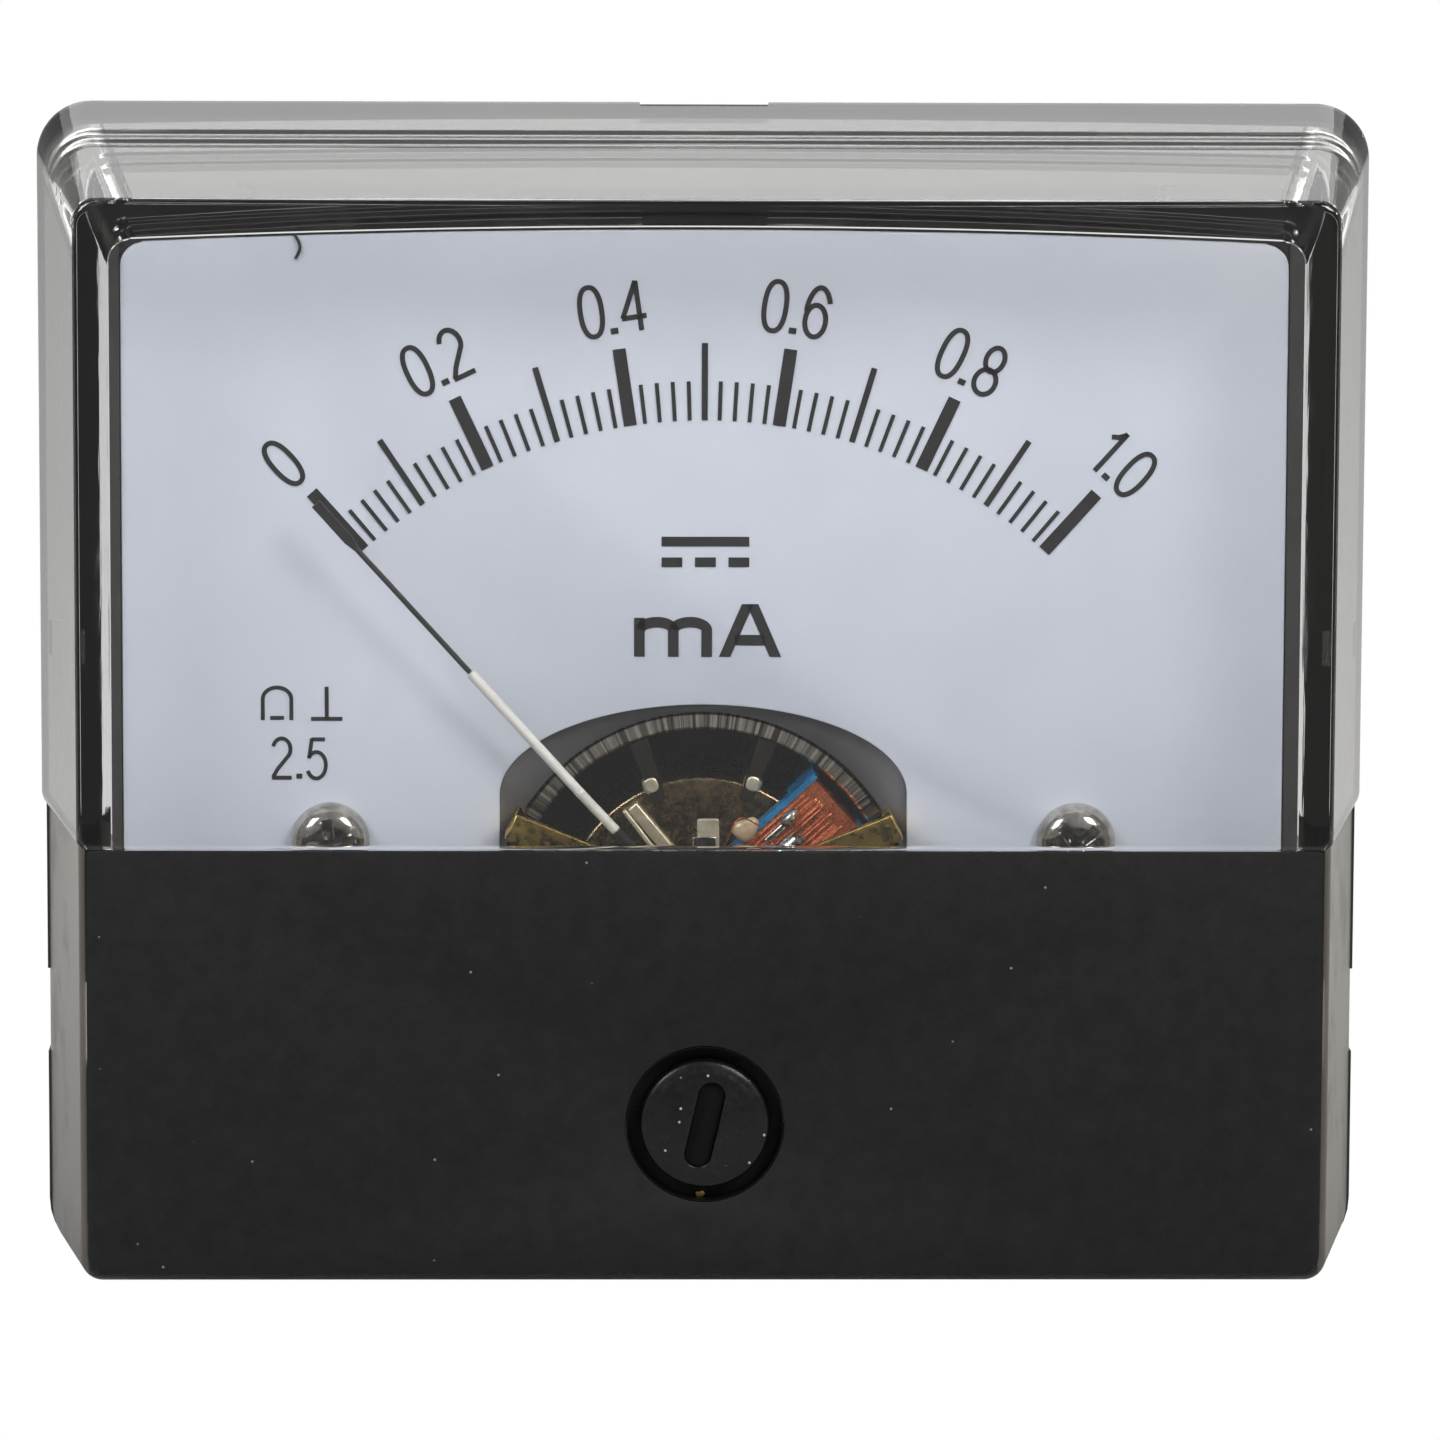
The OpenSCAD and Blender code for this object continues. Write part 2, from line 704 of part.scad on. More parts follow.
module solder_tags() {
    tag_reach = 5.5;
    color([0.8, 0.8, 0.78])
        pair()
            difference() {
                slab(barrel_floor_y - seat_gap, barrel_floor_y - tag_t + seat_gap)
                    union() {
                        translate([terminal_x, terminal_z])
                            circle(r = terminal_r + 1.4);
                        translate([terminal_x - tag_reach, terminal_z - 1.2])
                            square([tag_reach, 2.4]);
                    }
                bar(terminal_r + 0.1, barrel_floor_y + past, barrel_floor_y - 1, terminal_x, terminal_z);
                bar(
                    0.5, barrel_floor_y + past, barrel_floor_y - 1,
                    terminal_x - tag_reach + 1.1, terminal_z
                );
            }
}

// ---- Dial ----

module dial_plate() {
    opening_top = axis_z + opening_rise;
    color([0.8, 0.84, 0.89])
        difference() {
            slab(dial_rear_y, dial_y)
                difference() {
                    polygon(arched(dial_half, -dial_drop, dial_top, arch_rise, 1));
                    polygon(rounded(
                        opening_w / 2, -dial_drop - 2 * past, opening_top, opening_corner_r, 0.1
                    ));
                }
            pair()
                bar(screw_r + 0.2, dial_rear_y + past, dial_y - past, dial_screw_x, -dial_screw_drop);
        }
}

module scale_marks() {
    mark_t = 0.04;
    color([0.08, 0.08, 0.1])
        for (i = [0:scale_divisions])
            let(
                main = i % 10 == 0,
                long = i % 5 == 0,
                w = main ? tick_main_w : long ? tick_half_w : tick_small_w,
                reach = long ? tick_long : tick_short
            )
                on_axis(zero_angle + scale_sweep * i / scale_divisions)
                    translate([-w / 2, dial_y - mark_t, tick_r])
                        cube([w, mark_t, reach]);
}

// A pan-head screw whose head seats at seat_y and whose shank runs back from there
module pan_screw(head_r, shank_len, seat_y, x, z) {
    head_t = screw_head_t;
    difference() {
        turned(seat_y + shank_len, x, z)
            polygon(concat(
                [[0, 0], [screw_r, 0], [screw_r, shank_len], [head_r, shank_len]],
                arc([head_r - head_t * 0.7, shank_len + head_t * 0.3], head_t * 0.7, 0, 90, 6),
                [[0, shank_len + head_t]]
            ));
        // Cross recess
        for (turn = [20, 110])
            translate([x, seat_y - head_t - past, z])
                rotate([0, turn, 0])
                    translate([-head_r * 0.55, 0, -head_r * 0.13])
                        cube([head_r * 1.1, past + head_t * 0.55, head_r * 0.26]);
    }
}

module dial_screws() {
    color([0.72, 0.71, 0.68])
        for (side = [-1, 1])
            pan_screw(dial_head_r, dial_screw_len, dial_y, side * dial_screw_x, -dial_screw_drop);
}

// ---- Movement, fixed pieces ----

module yoke_ring() {
    color([0.66, 0.66, 0.64])
        on_axis()
            difference() {
                bar(ring_r, ring_rear_y, ring_y);
                bar(ring_inner_r, ring_rear_y + past, ring_y - past);
            }
}

module core_magnet() {
    color([0.5, 0.45, 0.4])
        on_axis()
            bar(core_r, core_rear_y, core_y);
}

// Fingers that reach through the air gap, hold the core and turn over its front
module core_fingers() {
    half = 3;
    finger_in = core_r + seat_gap;
    finger_out = ring_inner_r - seat_gap;
    for (a = [90 - finger_angle, 90 + finger_angle, 270 - finger_angle, 270 + finger_angle]) {
        slab(frame_floor_y + past, lug_y)
            polygon(sector(finger_in, finger_out, a - half, a + half, 4));
        slab(core_y - seat_gap, lug_y)
            polygon(sector(core_r - 0.7, finger_out, a - half, a + half, 4));
    }
}

module movement_frame() {
    color([0.7, 0.7, 0.72])
        on_axis()
            difference() {
                union() {
                    bar(ring_r, frame_rear_y, ring_rear_y);
                    pair()
                        rotate([0, -ear_angle, 0])
                            union() {
                                translate([ring_inner_r, frame_floor_y, -boss_r])
                                    cube([ear_reach - ring_inner_r, frame_floor_t, 2 * boss_r]);
                                bar(boss_r, frame_rear_y, frame_floor_y, ear_reach, 0);
                            }
                }
                difference() {
                    bar(ring_inner_r, frame_floor_y, ring_rear_y - past);
                    bar(2, frame_floor_y + past, frame_boss_y);
                    // Post that anchors the rear hairspring
                    bar(0.4, frame_floor_y + past, rear_spring_y, 0, spring_outer_r + 0.4);
                    core_fingers();
                }
                bar(jewel_screw_r + seat_gap, frame_rear_y + past, frame_boss_y - past);
                pair()
                    rotate([0, -ear_angle, 0])
                        bar(screw_r + 0.1, frame_rear_y + past, frame_floor_y - past, ear_reach, 0);
            }
    color([0.7, 0.7, 0.72])
        on_axis()
            intersection() {
                core_fingers();
                bar(ring_inner_r, ring_rear_y, lug_y - past);
            }
}

module movement_screws() {
    color([0.72, 0.71, 0.68])
        for (side = [-1, 1])
            pan_screw(
                frame_head_r, bridge_leg_t + frame_floor_t + frame_screw_grip,
                frame_floor_y - bridge_leg_t, side * ear_x, ear_z
            );
}

module front_bridge() {
    leg_out = bridge_leg_r + bridge_leg_t;
    arm_start = [0, bridge_rise];
    arm_end = leg_out * [cos(ear_angle), sin(ear_angle)];
    lean = atan2(arm_end[1] - arm_start[1], arm_end[0]);
    arm_len = norm(arm_end - arm_start);
    color([0.75, 0.64, 0.36])
        on_axis()
            difference() {
                union() {
                    bar(bridge_hub_r, bridge_rear_y, bridge_y);
                    pair()
                        union() {
                            translate([arm_start[0], bridge_y, arm_start[1]])
                                rotate([0, -lean, 0])
                                    translate([0, 0, -bridge_w / 2])
                                        cube([arm_len, bridge_t, bridge_w]);
                            // Leg along the ring and foot on the frame's ear
                            rotate([0, -ear_angle, 0])
                                union() {
                                    translate([bridge_leg_r, bridge_y, -bridge_w / 2])
                                        cube([bridge_leg_t, frame_floor_y - bridge_y, bridge_w]);
                                    translate([bridge_leg_r, frame_floor_y - bridge_leg_t, -bridge_w / 2])
                                        cube([ear_reach - bridge_leg_r, bridge_leg_t, bridge_w]);
                                    bar(1.9, frame_floor_y, frame_floor_y - bridge_leg_t, ear_reach, 0);
                                }
                        }
                }
                bar(jewel_screw_r + seat_gap, bridge_rear_y + past, bridge_y - past);
                pair()
                    rotate([0, -ear_angle, 0])
                        bar(screw_r + 0.1, frame_floor_y + past, bridge_rear_y + 2, ear_reach, 0);
            }
}

// A slotted jewel screw: the jewel's end is at jewel_y and the slotted end at slot_y
module jewel_screw(jewel_y, slot_y) {
    way = jewel_y > slot_y ? 1 : -1;
    seat_ends = [jewel_y + way * past, jewel_y - way * (jewel_t + seat_gap)];
    on_axis()
        difference() {
            bar(jewel_screw_r, max(jewel_y, slot_y), min(jewel_y, slot_y));
            // Seat of the jewel
            bar(jewel_r + seat_gap, max(seat_ends), min(seat_ends));
            // Screwdriver slot
            translate([-2, min(slot_y - way * past, slot_y + way * 0.5), -0.2])
                cube([4, past + 0.5, 0.4]);
        }
}

// A ring jewel with a conical cup for the pivot's point
module jewel(cup_y, way) {
    on_axis()
        translate([0, cup_y, 0])
            rotate([90 * way, 0, 0])
                rotate_extrude()
                    polygon([
                        [jewel_r - 0.25, 0], [jewel_r, 0], [jewel_r, jewel_t],
                        [0, jewel_t], [0, jewel_t - 0.1], [0.08, jewel_t - 0.1]
                    ]);
}

module front_jewel_screw() {
    color([0.78, 0.7, 0.45])
        jewel_screw(bridge_rear_y - 0.05, lock_nut_y - 0.4);
}

module front_lock_nut() {
    color([0.78, 0.7, 0.45])
        on_axis()
            hex_nut(lock_nut_r, jewel_screw_r + seat_gap, lock_nut_rear_y, lock_nut_y);
}

module front_jewel() {
    color([0.75, 0.15, 0.25])
        jewel(bridge_rear_y - 0.05, 1);
}

module rear_jewel_screw() {
    color([0.78, 0.7, 0.45])
        jewel_screw(frame_boss_y + 0.05, frame_rear_y + 1.6);
}

module rear_lock_nut() {
    color([0.78, 0.7, 0.45])
        on_axis()
            hex_nut(
                lock_nut_r, jewel_screw_r + seat_gap,
                frame_rear_y + seat_gap + lock_nut_t, frame_rear_y + seat_gap
            );
}

module rear_jewel() {
    color([0.75, 0.15, 0.25])
        jewel(frame_boss_y + 0.05, -1);
}

module hairspring(rear_y) {
    slab(rear_y, rear_y - spring_strip_w)
        rotate(90)
            polygon(spiral(
                collet_r + 0.1, spring_outer_r - spring_strip_t / 2, spring_turns, spring_strip_t
            ));
}

module rear_hairspring() {
    color([0.72, 0.55, 0.35])
        on_axis()
            hairspring(rear_spring_rear_y);
}

module front_hairspring() {
    color([0.72, 0.55, 0.35])
        on_axis()
            hairspring(spring_rear_y);
}

// ---- Zero adjuster ----

module zero_lever() {
    slot_half = pin_r + run_gap;
    fork_half = slot_half + 0.7;
    fork_end = adjuster_drop + pin_throw + fork_past;
    slot_start = adjuster_drop - pin_throw - 0.2;
    tab_half = 0.5;
    waist = lever_hub_r * 0.75;
    color([0.74, 0.74, 0.76])
        on_axis()
            difference() {
                union() {
                    bar(lever_hub_r, lever_rear_y, lever_y);
                    slab(lever_rear_y, lever_y)
                        polygon([
                            [-waist, 0], [waist, 0], [fork_half, -slot_start + 0.6],
                            [fork_half, -fork_end], [-fork_half, -fork_end], [-fork_half, -slot_start + 0.6]
                        ]);
                    translate([-tab_half, lever_y, 0])
                        cube([2 * tab_half, lever_t, tail_reach]);
                    // Tab turned back to hold the front hairspring's outer end
                    translate([-tab_half, lever_y, spring_outer_r + seat_gap])
                        cube([2 * tab_half, spring_rear_y - lever_y, tail_reach - spring_outer_r - seat_gap]);
                }
                bar(jewel_screw_r + run_gap, lever_rear_y + past, lever_y - past);
                translate([-slot_half, lever_y - past, -fork_end - past])
                    cube([2 * slot_half, lever_t + 2 * past, fork_end - slot_start + past]);
            }
}

module zero_adjuster() {
    floor_y = lower_y + adjuster_hole_depth;
    clip_y = stem_end_y - 0.6;
    head_rear_y = floor_y - 0.05;
    head_front_y = lower_y - mask_t - adjuster_dome;
    head_t = head_rear_y - head_front_y;
    head_side = head_t - adjuster_dome - 0.25;
    color([0.05, 0.05, 0.05])
        translate([0, 0, adjuster_z])
            difference() {
                union() {
                    // Head with a rounded edge and a shallow dome
                    turned(head_rear_y)
                        polygon(concat(
                            [[0, 0], [adjuster_r, 0]],
                            arc([adjuster_r - 0.25, head_side], 0.25, 0, 60, 4),
                            [for (i = [1:8]) let(r = (adjuster_r - 0.25) * cos(90 * i / 8))
                                [r, head_t - (head_t - head_side - 0.2) * pow(r / adjuster_r, 2)]]
                        ));
                    bar(stem_r, clip_y, head_rear_y - 0.1);
                    bar(stem_r - 0.5, stem_end_y, head_rear_y - 0.1);
                    bar(stem_r, stem_end_y, stem_end_y - 0.2);
                    bar(pin_r, lever_rear_y + 0.08, stem_end_y - 0.1, 0, -pin_throw);
                }
                // Screwdriver slot with round ends
                rotate([0, slot_lean, 0])
                    union() {
                        translate([-slot_w / 2, head_front_y - past, -(slot_len - slot_w) / 2])
                            cube([slot_w, past + slot_depth, slot_len - slot_w]);
                        for (end = [-1, 1])
                            bar(
                                slot_w / 2, head_front_y + slot_depth, head_front_y - past,
                                0, end * (slot_len - slot_w) / 2
                            );
                    }
            }
}

module adjuster_clip() {
    clip_y = stem_end_y - 0.6;
    color([0.7, 0.7, 0.7])
        translate([0, 0, adjuster_z])
            difference() {
                bar(stem_r + 0.9, clip_y + 0.38, clip_y + seat_gap);
                bar(stem_r - 0.5 + seat_gap, clip_y + 1, clip_y - 1);
            }
}

// ---- Moving coil and pointer ----

// The rectangular loop of the coil between an inner and an outer size
module coil_loop(r_in, r_out, end_in, end_out, w) {
    half_in = (coil_inner_rear_y - coil_inner_y) / 2 + end_in;
    half_out = (coil_inner_rear_y - coil_inner_y) / 2 + end_out;
    mid_y = (coil_inner_rear_y + coil_inner_y) / 2;
    difference() {
        translate([-r_out, mid_y - half_out, -w / 2])
            cube([2 * r_out, 2 * half_out, w]);
        translate([-r_in, mid_y - half_in, -w])
            cube([2 * r_in, 2 * half_in, 2 * w]);
    }
}

module coil_former() {
    flange_z = coil_w / 2 - former_flange_t / 2;
    color([0.2, 0.35, 0.6])
        on_axis(zero_angle)
            union() {
                coil_loop(coil_inner_r, coil_inner_r + former_t, 0, former_t, coil_w);
                for (side = [-1, 1])
                    translate([0, 0, side * flange_z])
                        coil_loop(
                            coil_inner_r, coil_r, 0, former_t + winding_end_t + former_lip, former_flange_t
                        );
            }
}

module coil_winding() {
    color([0.7, 0.38, 0.22])
        on_axis(zero_angle)
            coil_loop(
                coil_inner_r + former_t + seat_gap, winding_r, former_t + seat_gap,
                former_t + winding_end_t, coil_w - 2 * former_flange_t - 2 * seat_gap
            );
}

module front_pivot() {
    point_y = bridge_rear_y - 0.05 - 0.4;
    color([0.7, 0.7, 0.75])
        on_axis()
            turned(coil_y)
                polygon([
                    [0, 0], [1.5, 0], [1.5, pivot_base_t], [pivot_r, pivot_base_t],
                    [pivot_r, coil_y - bridge_rear_y - 0.1], [0, coil_y - point_y]
                ]);
    color([0.75, 0.65, 0.4])
        on_axis()
            difference() {
                bar(collet_r, spring_rear_y, spring_y);
                bar(pivot_r + seat_gap, spring_rear_y + past, spring_y - past);
            }
}

module rear_pivot() {
    point_len = frame_boss_y + 0.05 + 0.4 - coil_rear_y;
    color([0.7, 0.7, 0.75])
        on_axis()
            translate([0, coil_rear_y, 0])
                rotate([-90, 0, 0])
                    rotate_extrude()
                        polygon([
                            [0, 0], [1.5, 0], [1.5, pivot_base_t], [pivot_r, pivot_base_t],
                            [pivot_r, frame_boss_y - coil_rear_y - 0.1], [0, point_len]
                        ]);
    color([0.75, 0.65, 0.4])
        on_axis()
            difference() {
                bar(collet_r, rear_spring_rear_y, rear_spring_y);
                bar(pivot_r + seat_gap, rear_spring_rear_y + past, rear_spring_y - past);
            }
}

// A round rod between two places given as reach from the axis and depth
module rod(r, reach_a, y_a, reach_b, y_b) {
    run = norm([reach_b - reach_a, y_b - y_a]);
    translate([0, y_a, reach_a])
        rotate([atan2(-(y_b - y_a), reach_b - reach_a), 0, 0])
            cylinder(r = r, h = run);
}

module pointer_hub() {
    mid_y = hub_y + hub_t / 2;
    color([0.72, 0.72, 0.74])
        on_axis(zero_angle)
            difference() {
                union() {
                    bar(1.3, hub_rear_y, hub_y);
                    // Arms that carry the tail weight and the two side weights
                    for (turn = [90, 180, 270])
                        rotate([0, turn, 0])
                            translate([-0.2, hub_y + 0.1, 0.5])
                                cube([0.4, hub_t - 0.2, balance_reach + 0.5]);
                    translate([-0.3, mid_y - 0.15, 0.5])
                        cube([0.6, 0.3, 1.6]);
                }
                bar(pivot_r + seat_gap, hub_rear_y + past, hub_y - past);
            }
}

module balance_weights() {
    mid_y = hub_y + hub_t / 2;
    color([0.8, 0.8, 0.8])
        on_axis(zero_angle)
            for (turn = [90, 180, 270])
                let(
                    tail = turn == 180,
                    r = tail ? tail_weight_r : balance_r,
                    half = (tail ? tail_weight_len : balance_len) / 2
                )
                    rotate([0, turn, 0])
                        difference() {
                            rod(r, balance_reach - half, mid_y, balance_reach + half, mid_y);
                            translate([-0.22, hub_y + 0.08, balance_reach - half - past])
                                cube([0.44, hub_t - 0.16, 2 * (half + past)]);
                        }
}

module pointer_tube() {
    mid_y = hub_y + hub_t / 2;
    bend_y = dial_y - bend_height;
    tip_y = dial_y - tip_height;
    share = (tube_reach - bend_reach) / (pointer_len - bend_reach);
    end_y = bend_y + (tip_y - bend_y) * share;
    color([0.86, 0.86, 0.84])
        on_axis(zero_angle)
            union() {
                rod(tube_r, 2.1, mid_y - 0.1, bend_reach, bend_y);
                // Knuckle of the bend
                translate([0, bend_y, bend_reach])
                    sphere(r = tube_r * 1.06);
                rod(tube_r, bend_reach, bend_y, tube_reach, end_y);
            }
}

module pointer_needle() {
    bend_y = dial_y - bend_height;
    tip_y = dial_y - tip_height;
    share = (tube_reach - bend_reach) / (pointer_len - bend_reach);
    start_y = bend_y + (tip_y - bend_y) * share;
    blade_t = 0.1;
    color([0.1, 0.1, 0.1])
        on_axis(zero_angle)
            union() {
                rod(needle_r, tube_reach + seat_gap, start_y, pointer_len - blade_len + 0.2, tip_y);
                // Tip flattened edge-on to the scale
                slab(tip_y + blade_t, tip_y - blade_t)
                    polygon([
                        [-needle_r, pointer_len - blade_len], [needle_r, pointer_len - blade_len],
                        [blade_w / 2, pointer_len - blade_len + 0.5], [blade_w / 2, pointer_len],
                        [-blade_w / 2, pointer_len], [-blade_w / 2, pointer_len - blade_len + 0.5]
                    ]);
            }
}

base_housing();
front_cover();
face_mask();
dial_plate();
scale_marks();
dial_screws();
mounting_studs();
terminal_studs();
terminal_nuts();
terminal_washers();
solder_tags();
yoke_ring();
core_magnet();
movement_frame();
movement_screws();
front_bridge();
front_jewel_screw();
front_lock_nut();
front_jewel();
rear_jewel_screw();
rear_lock_nut();
rear_jewel();
rear_hairspring();
front_hairspring();
zero_lever();
zero_adjuster();
adjuster_clip();
coil_former();
coil_winding();
front_pivot();
rear_pivot();
pointer_hub();
pointer_tube();
pointer_needle();
balance_weights();
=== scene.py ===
# %% [markdown]
# # A moving-coil panel meter
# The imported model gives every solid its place. This script dresses those solids, and works out
# the shapes that a solid model leaves plain: the clear cover's soft edges, the printed scale,
# the wound coil, the threads and the chamfered nuts.
# All sizes are worked out in millimetres and turned to metres when a mesh is made.

# %% The frame
import math

import bmesh
import bpy
import numpy as np
from mathutils import Matrix, Vector


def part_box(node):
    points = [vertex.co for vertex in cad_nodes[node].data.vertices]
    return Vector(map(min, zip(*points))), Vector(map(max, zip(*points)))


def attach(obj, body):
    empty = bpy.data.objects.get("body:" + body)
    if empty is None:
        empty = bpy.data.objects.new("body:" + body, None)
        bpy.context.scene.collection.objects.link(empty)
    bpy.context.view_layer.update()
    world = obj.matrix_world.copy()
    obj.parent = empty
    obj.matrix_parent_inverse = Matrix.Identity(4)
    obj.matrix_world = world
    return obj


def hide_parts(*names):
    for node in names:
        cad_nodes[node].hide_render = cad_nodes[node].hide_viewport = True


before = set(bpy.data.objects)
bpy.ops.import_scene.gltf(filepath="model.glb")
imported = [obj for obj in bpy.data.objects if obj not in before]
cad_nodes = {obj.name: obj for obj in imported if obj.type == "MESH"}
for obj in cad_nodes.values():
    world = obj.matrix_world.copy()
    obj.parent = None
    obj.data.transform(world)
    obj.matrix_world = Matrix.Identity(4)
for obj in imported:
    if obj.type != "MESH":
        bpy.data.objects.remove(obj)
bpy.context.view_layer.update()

MM = 0.001
print("solids in the frame:", len(cad_nodes))

# %% [markdown]
# ## Where the pieces are
# A dressed piece has to sit where its solid sits. The boxes of the solids give the main
# planes and axes, so that nothing here has to be measured twice. The pointer stands 42 degrees
# left of upright at zero, and sweeps 84 degrees.

# %% Planes and axes from the solids


def box_mm(name):
    """Lowest and highest corner of a solid, in millimetres."""
    low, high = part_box(name)
    return np.array(low) / MM, np.array(high) / MM


cover_low, cover_high = box_mm("front_cover")
dial_low, dial_high = box_mm("dial_plate")
ring_low, ring_high = box_mm("yoke_ring")
core_low = box_mm("core_magnet")[0]
head_low, head_high = box_mm("zero_adjuster")
mask_low, mask_high = box_mm("face_mask")
dial_y = dial_low[1]
axis_z = (ring_low[2] + ring_high[2]) / 2
adjuster_z = (head_low[2] + head_high[2]) / 2
ZERO_ANGLE, SWEEP = math.radians(-42), math.radians(84)
print("pointer axis at", round(axis_z, 2), "dial front at", round(dial_y, 2))

# %% [markdown]
# ## The camera
# A long lens from a little above, straight on. A long lens keeps the scale's arc round and
# the cover's sides nearly parallel, as in a catalogue picture.

# %% Camera
VIEW_DISTANCE = 350.0
VIEW_WIDTH = 63.6
VIEW_AZIMUTH, VIEW_ELEVATION, VIEW_ROLL = map(math.radians, (-1.1, 8.0, 0.216))
aim = np.array([0.823, 0.0, -1.607])
back = np.array([
    math.sin(VIEW_AZIMUTH) * math.cos(VIEW_ELEVATION),
    -math.cos(VIEW_AZIMUTH) * math.cos(VIEW_ELEVATION),
    math.sin(VIEW_ELEVATION),
])
lens = bpy.data.cameras.new("long_lens")
lens.sensor_width = 36.0
lens.lens = lens.sensor_width * VIEW_DISTANCE / VIEW_WIDTH
lens.clip_start, lens.clip_end = 0.01, 20.0
camera = bpy.data.objects.new("camera", lens)
camera.location = (aim + back * VIEW_DISTANCE) * MM
turn = Vector(-back).to_track_quat("-Z", "Y").to_matrix()
camera.rotation_euler = (turn @ Matrix.Rotation(VIEW_ROLL, 3, "Z")).to_euler()
bpy.context.scene.collection.objects.link(camera)
bpy.context.scene.camera = camera
print("lens in mm:", round(lens.lens, 1))

# %% [markdown]
# ## Colours and nodes
# Colours are written as sRGB hex values, because that is how they are read off a swatch.
# Light adds up in linear values, so one function turns each to linear.
# One more function adds a node with its settings and its links, and another ends a material
# with its relief, its shader and its output. A material is then a short list of nodes that
# reads from the coordinates to the shader.

# %% Helpers for materials
MIX_A, MIX_B, MIX_OUT = 6, 7, 2  # the colour sockets of a mix node


def linear(code):
    """sRGB hex to linear RGBA: c / 12.92 where dark, else ((c + 0.055) / 1.055) to the 2.4."""
    c = np.array([int(code[i:i + 2], 16) for i in (1, 3, 5)]) / 255
    lin = np.where(c <= 0.04045, c / 12.92, ((c + 0.055) / 1.055) ** 2.4)
    return (*lin.tolist(), 1.0)


def add(material, kind, inputs=None, **settings):
    """Adds one node: settings are its own properties, inputs are values, sockets or nodes.

    A node given as an input stands for its first output.
    """
    made = material.node_tree.nodes.new("ShaderNode" + kind)
    for key, value in settings.items():
        setattr(made, key, value)
    for key, value in (inputs or {}).items():
        if isinstance(value, bpy.types.Node):
            value = value.outputs[0]
        if isinstance(value, bpy.types.NodeSocket):
            material.node_tree.links.new(value, made.inputs[key])
        else:
            made.inputs[key].default_value = value
    return made


def blank(name):
    """A material with an empty tree, and the object coordinates of the piece it is on."""
    material = bpy.data.materials.new(name)
    material.use_nodes = True
    material.node_tree.nodes.clear()
    place = add(material, "TexCoord").outputs["Object"]
    return material, place


def surface(material, inputs, relief=None, relief_um=0.0):
    """The end of a material: its relief as a bump, its shader and its output."""
    if relief is not None:
        inputs = {**inputs, "Normal": add(material, "Bump", {
            "Height": relief, "Strength": 1.0, "Distance": relief_um * 1e-6,
        })}
    shader = add(material, "BsdfPrincipled", inputs)
    add(material, "OutputMaterial", {"Surface": shader})
    return material


def per_m(size_mm):
    """A texture's scale for a pattern whose cells are size_mm across."""
    return 1000.0 / size_mm


# %% [markdown]
# ## Finishes
# Nearly every surface here is either moulded, printed or plated. Seen close, each of them
# shows three things: patches of slightly different colour, patches that are a little rougher,
# and a fine relief left by how it was made. The relief is even on moulded plastic, long and
# thin on rolled strip, and in rings on a turned part.

# %% A surface with patches, wear and relief


def finish(
    name, colour, patch, patch_mm, rough, swing, metallic=0.0, grain_mm=0.2, grain_um=2.0,
    stretch=(1, 1, 1), rings=None, ior=1.5, coat=0.0, dust=None, patch_bias=0.5, detail=3.0,
):
    """Mixes two colours by noise, swings the roughness by another noise and lifts a fine relief.

    rings gives the x and z of a turning axis. dust gives a colour, the size of a cell in mm,
    the size of a speck as a part of its cell, and the share of cells that hold one.
    """
    material, place = blank(name)
    patches = add(material, "TexNoise", {
        "Vector": place, "Scale": per_m(patch_mm), "Detail": detail, "Roughness": 0.6,
    })
    share = add(material, "MapRange", {
        "Value": patches, "From Min": patch_bias - 0.18, "From Max": patch_bias + 0.25,
    })
    tint = add(material, "Mix", {
        "Factor": share, MIX_A: linear(colour), MIX_B: linear(patch),
    }, data_type="RGBA").outputs[MIX_OUT]
    smears = add(material, "TexNoise", {
        "Vector": place, "Scale": per_m(patch_mm * 0.37), "Detail": 4.0, "Distortion": 0.6,
    })
    gloss = add(material, "MapRange", {
        "Value": smears, "From Min": 0.3, "From Max": 0.7,
        "To Min": max(rough - swing, 0.02), "To Max": rough + swing,
    })
    if rings is None:
        spread = add(material, "Mapping", {"Vector": place, "Scale": stretch})
        relief = add(material, "TexNoise", {
            "Vector": spread, "Scale": per_m(grain_mm), "Detail": 2.0,
        })
    else:
        centred = add(material, "Mapping", {
            "Vector": place, "Location": (-rings[0] * MM, 0.0, -rings[1] * MM),
        })
        relief = add(material, "TexWave", {
            "Vector": centred, "Scale": per_m(grain_mm) / math.pi,
            "Distortion": 1.2, "Detail": 3.0, "Detail Scale": 2.0,
        }, wave_type="RINGS", rings_direction="Y").outputs["Fac"]
    if dust is not None:
        dust_colour, cell_mm, speck, dusty_share = dust
        specks = add(material, "TexVoronoi", {
            "Vector": place, "Scale": per_m(cell_mm), "Randomness": 1.0,
        })
        near = add(material, "MapRange", {
            "Value": specks, "From Min": speck * 0.5, "From Max": speck,
            "To Min": 1.0, "To Max": 0.0,
        })
        draw = add(material, "SeparateColor", {"Color": specks.outputs["Color"]})
        rare = add(material, "Math", {
            0: draw, 1: dusty_share,
        }, operation="LESS_THAN")
        shown = add(material, "Math", {
            0: near, 1: rare,
        }, operation="MULTIPLY")
        tint = add(material, "Mix", {
            "Factor": shown, MIX_A: tint, MIX_B: linear(dust_colour),
        }, data_type="RGBA").outputs[MIX_OUT]
    own_ior = {} if metallic else {"IOR": ior}
    return surface(material, {
        "Base Color": tint, "Roughness": gloss, "Metallic": metallic,
        "Coat Weight": coat, "Coat Roughness": 0.08, **own_ior,
    }, relief, grain_um)


# %% [markdown]
# ## Meshes from arrays
# A piece is a function of two parameters on a grid. The grid's points are worked out as one
# array, and its faces come from the same counting, so a mesh needs no loop over points.

# %% Helpers for meshes


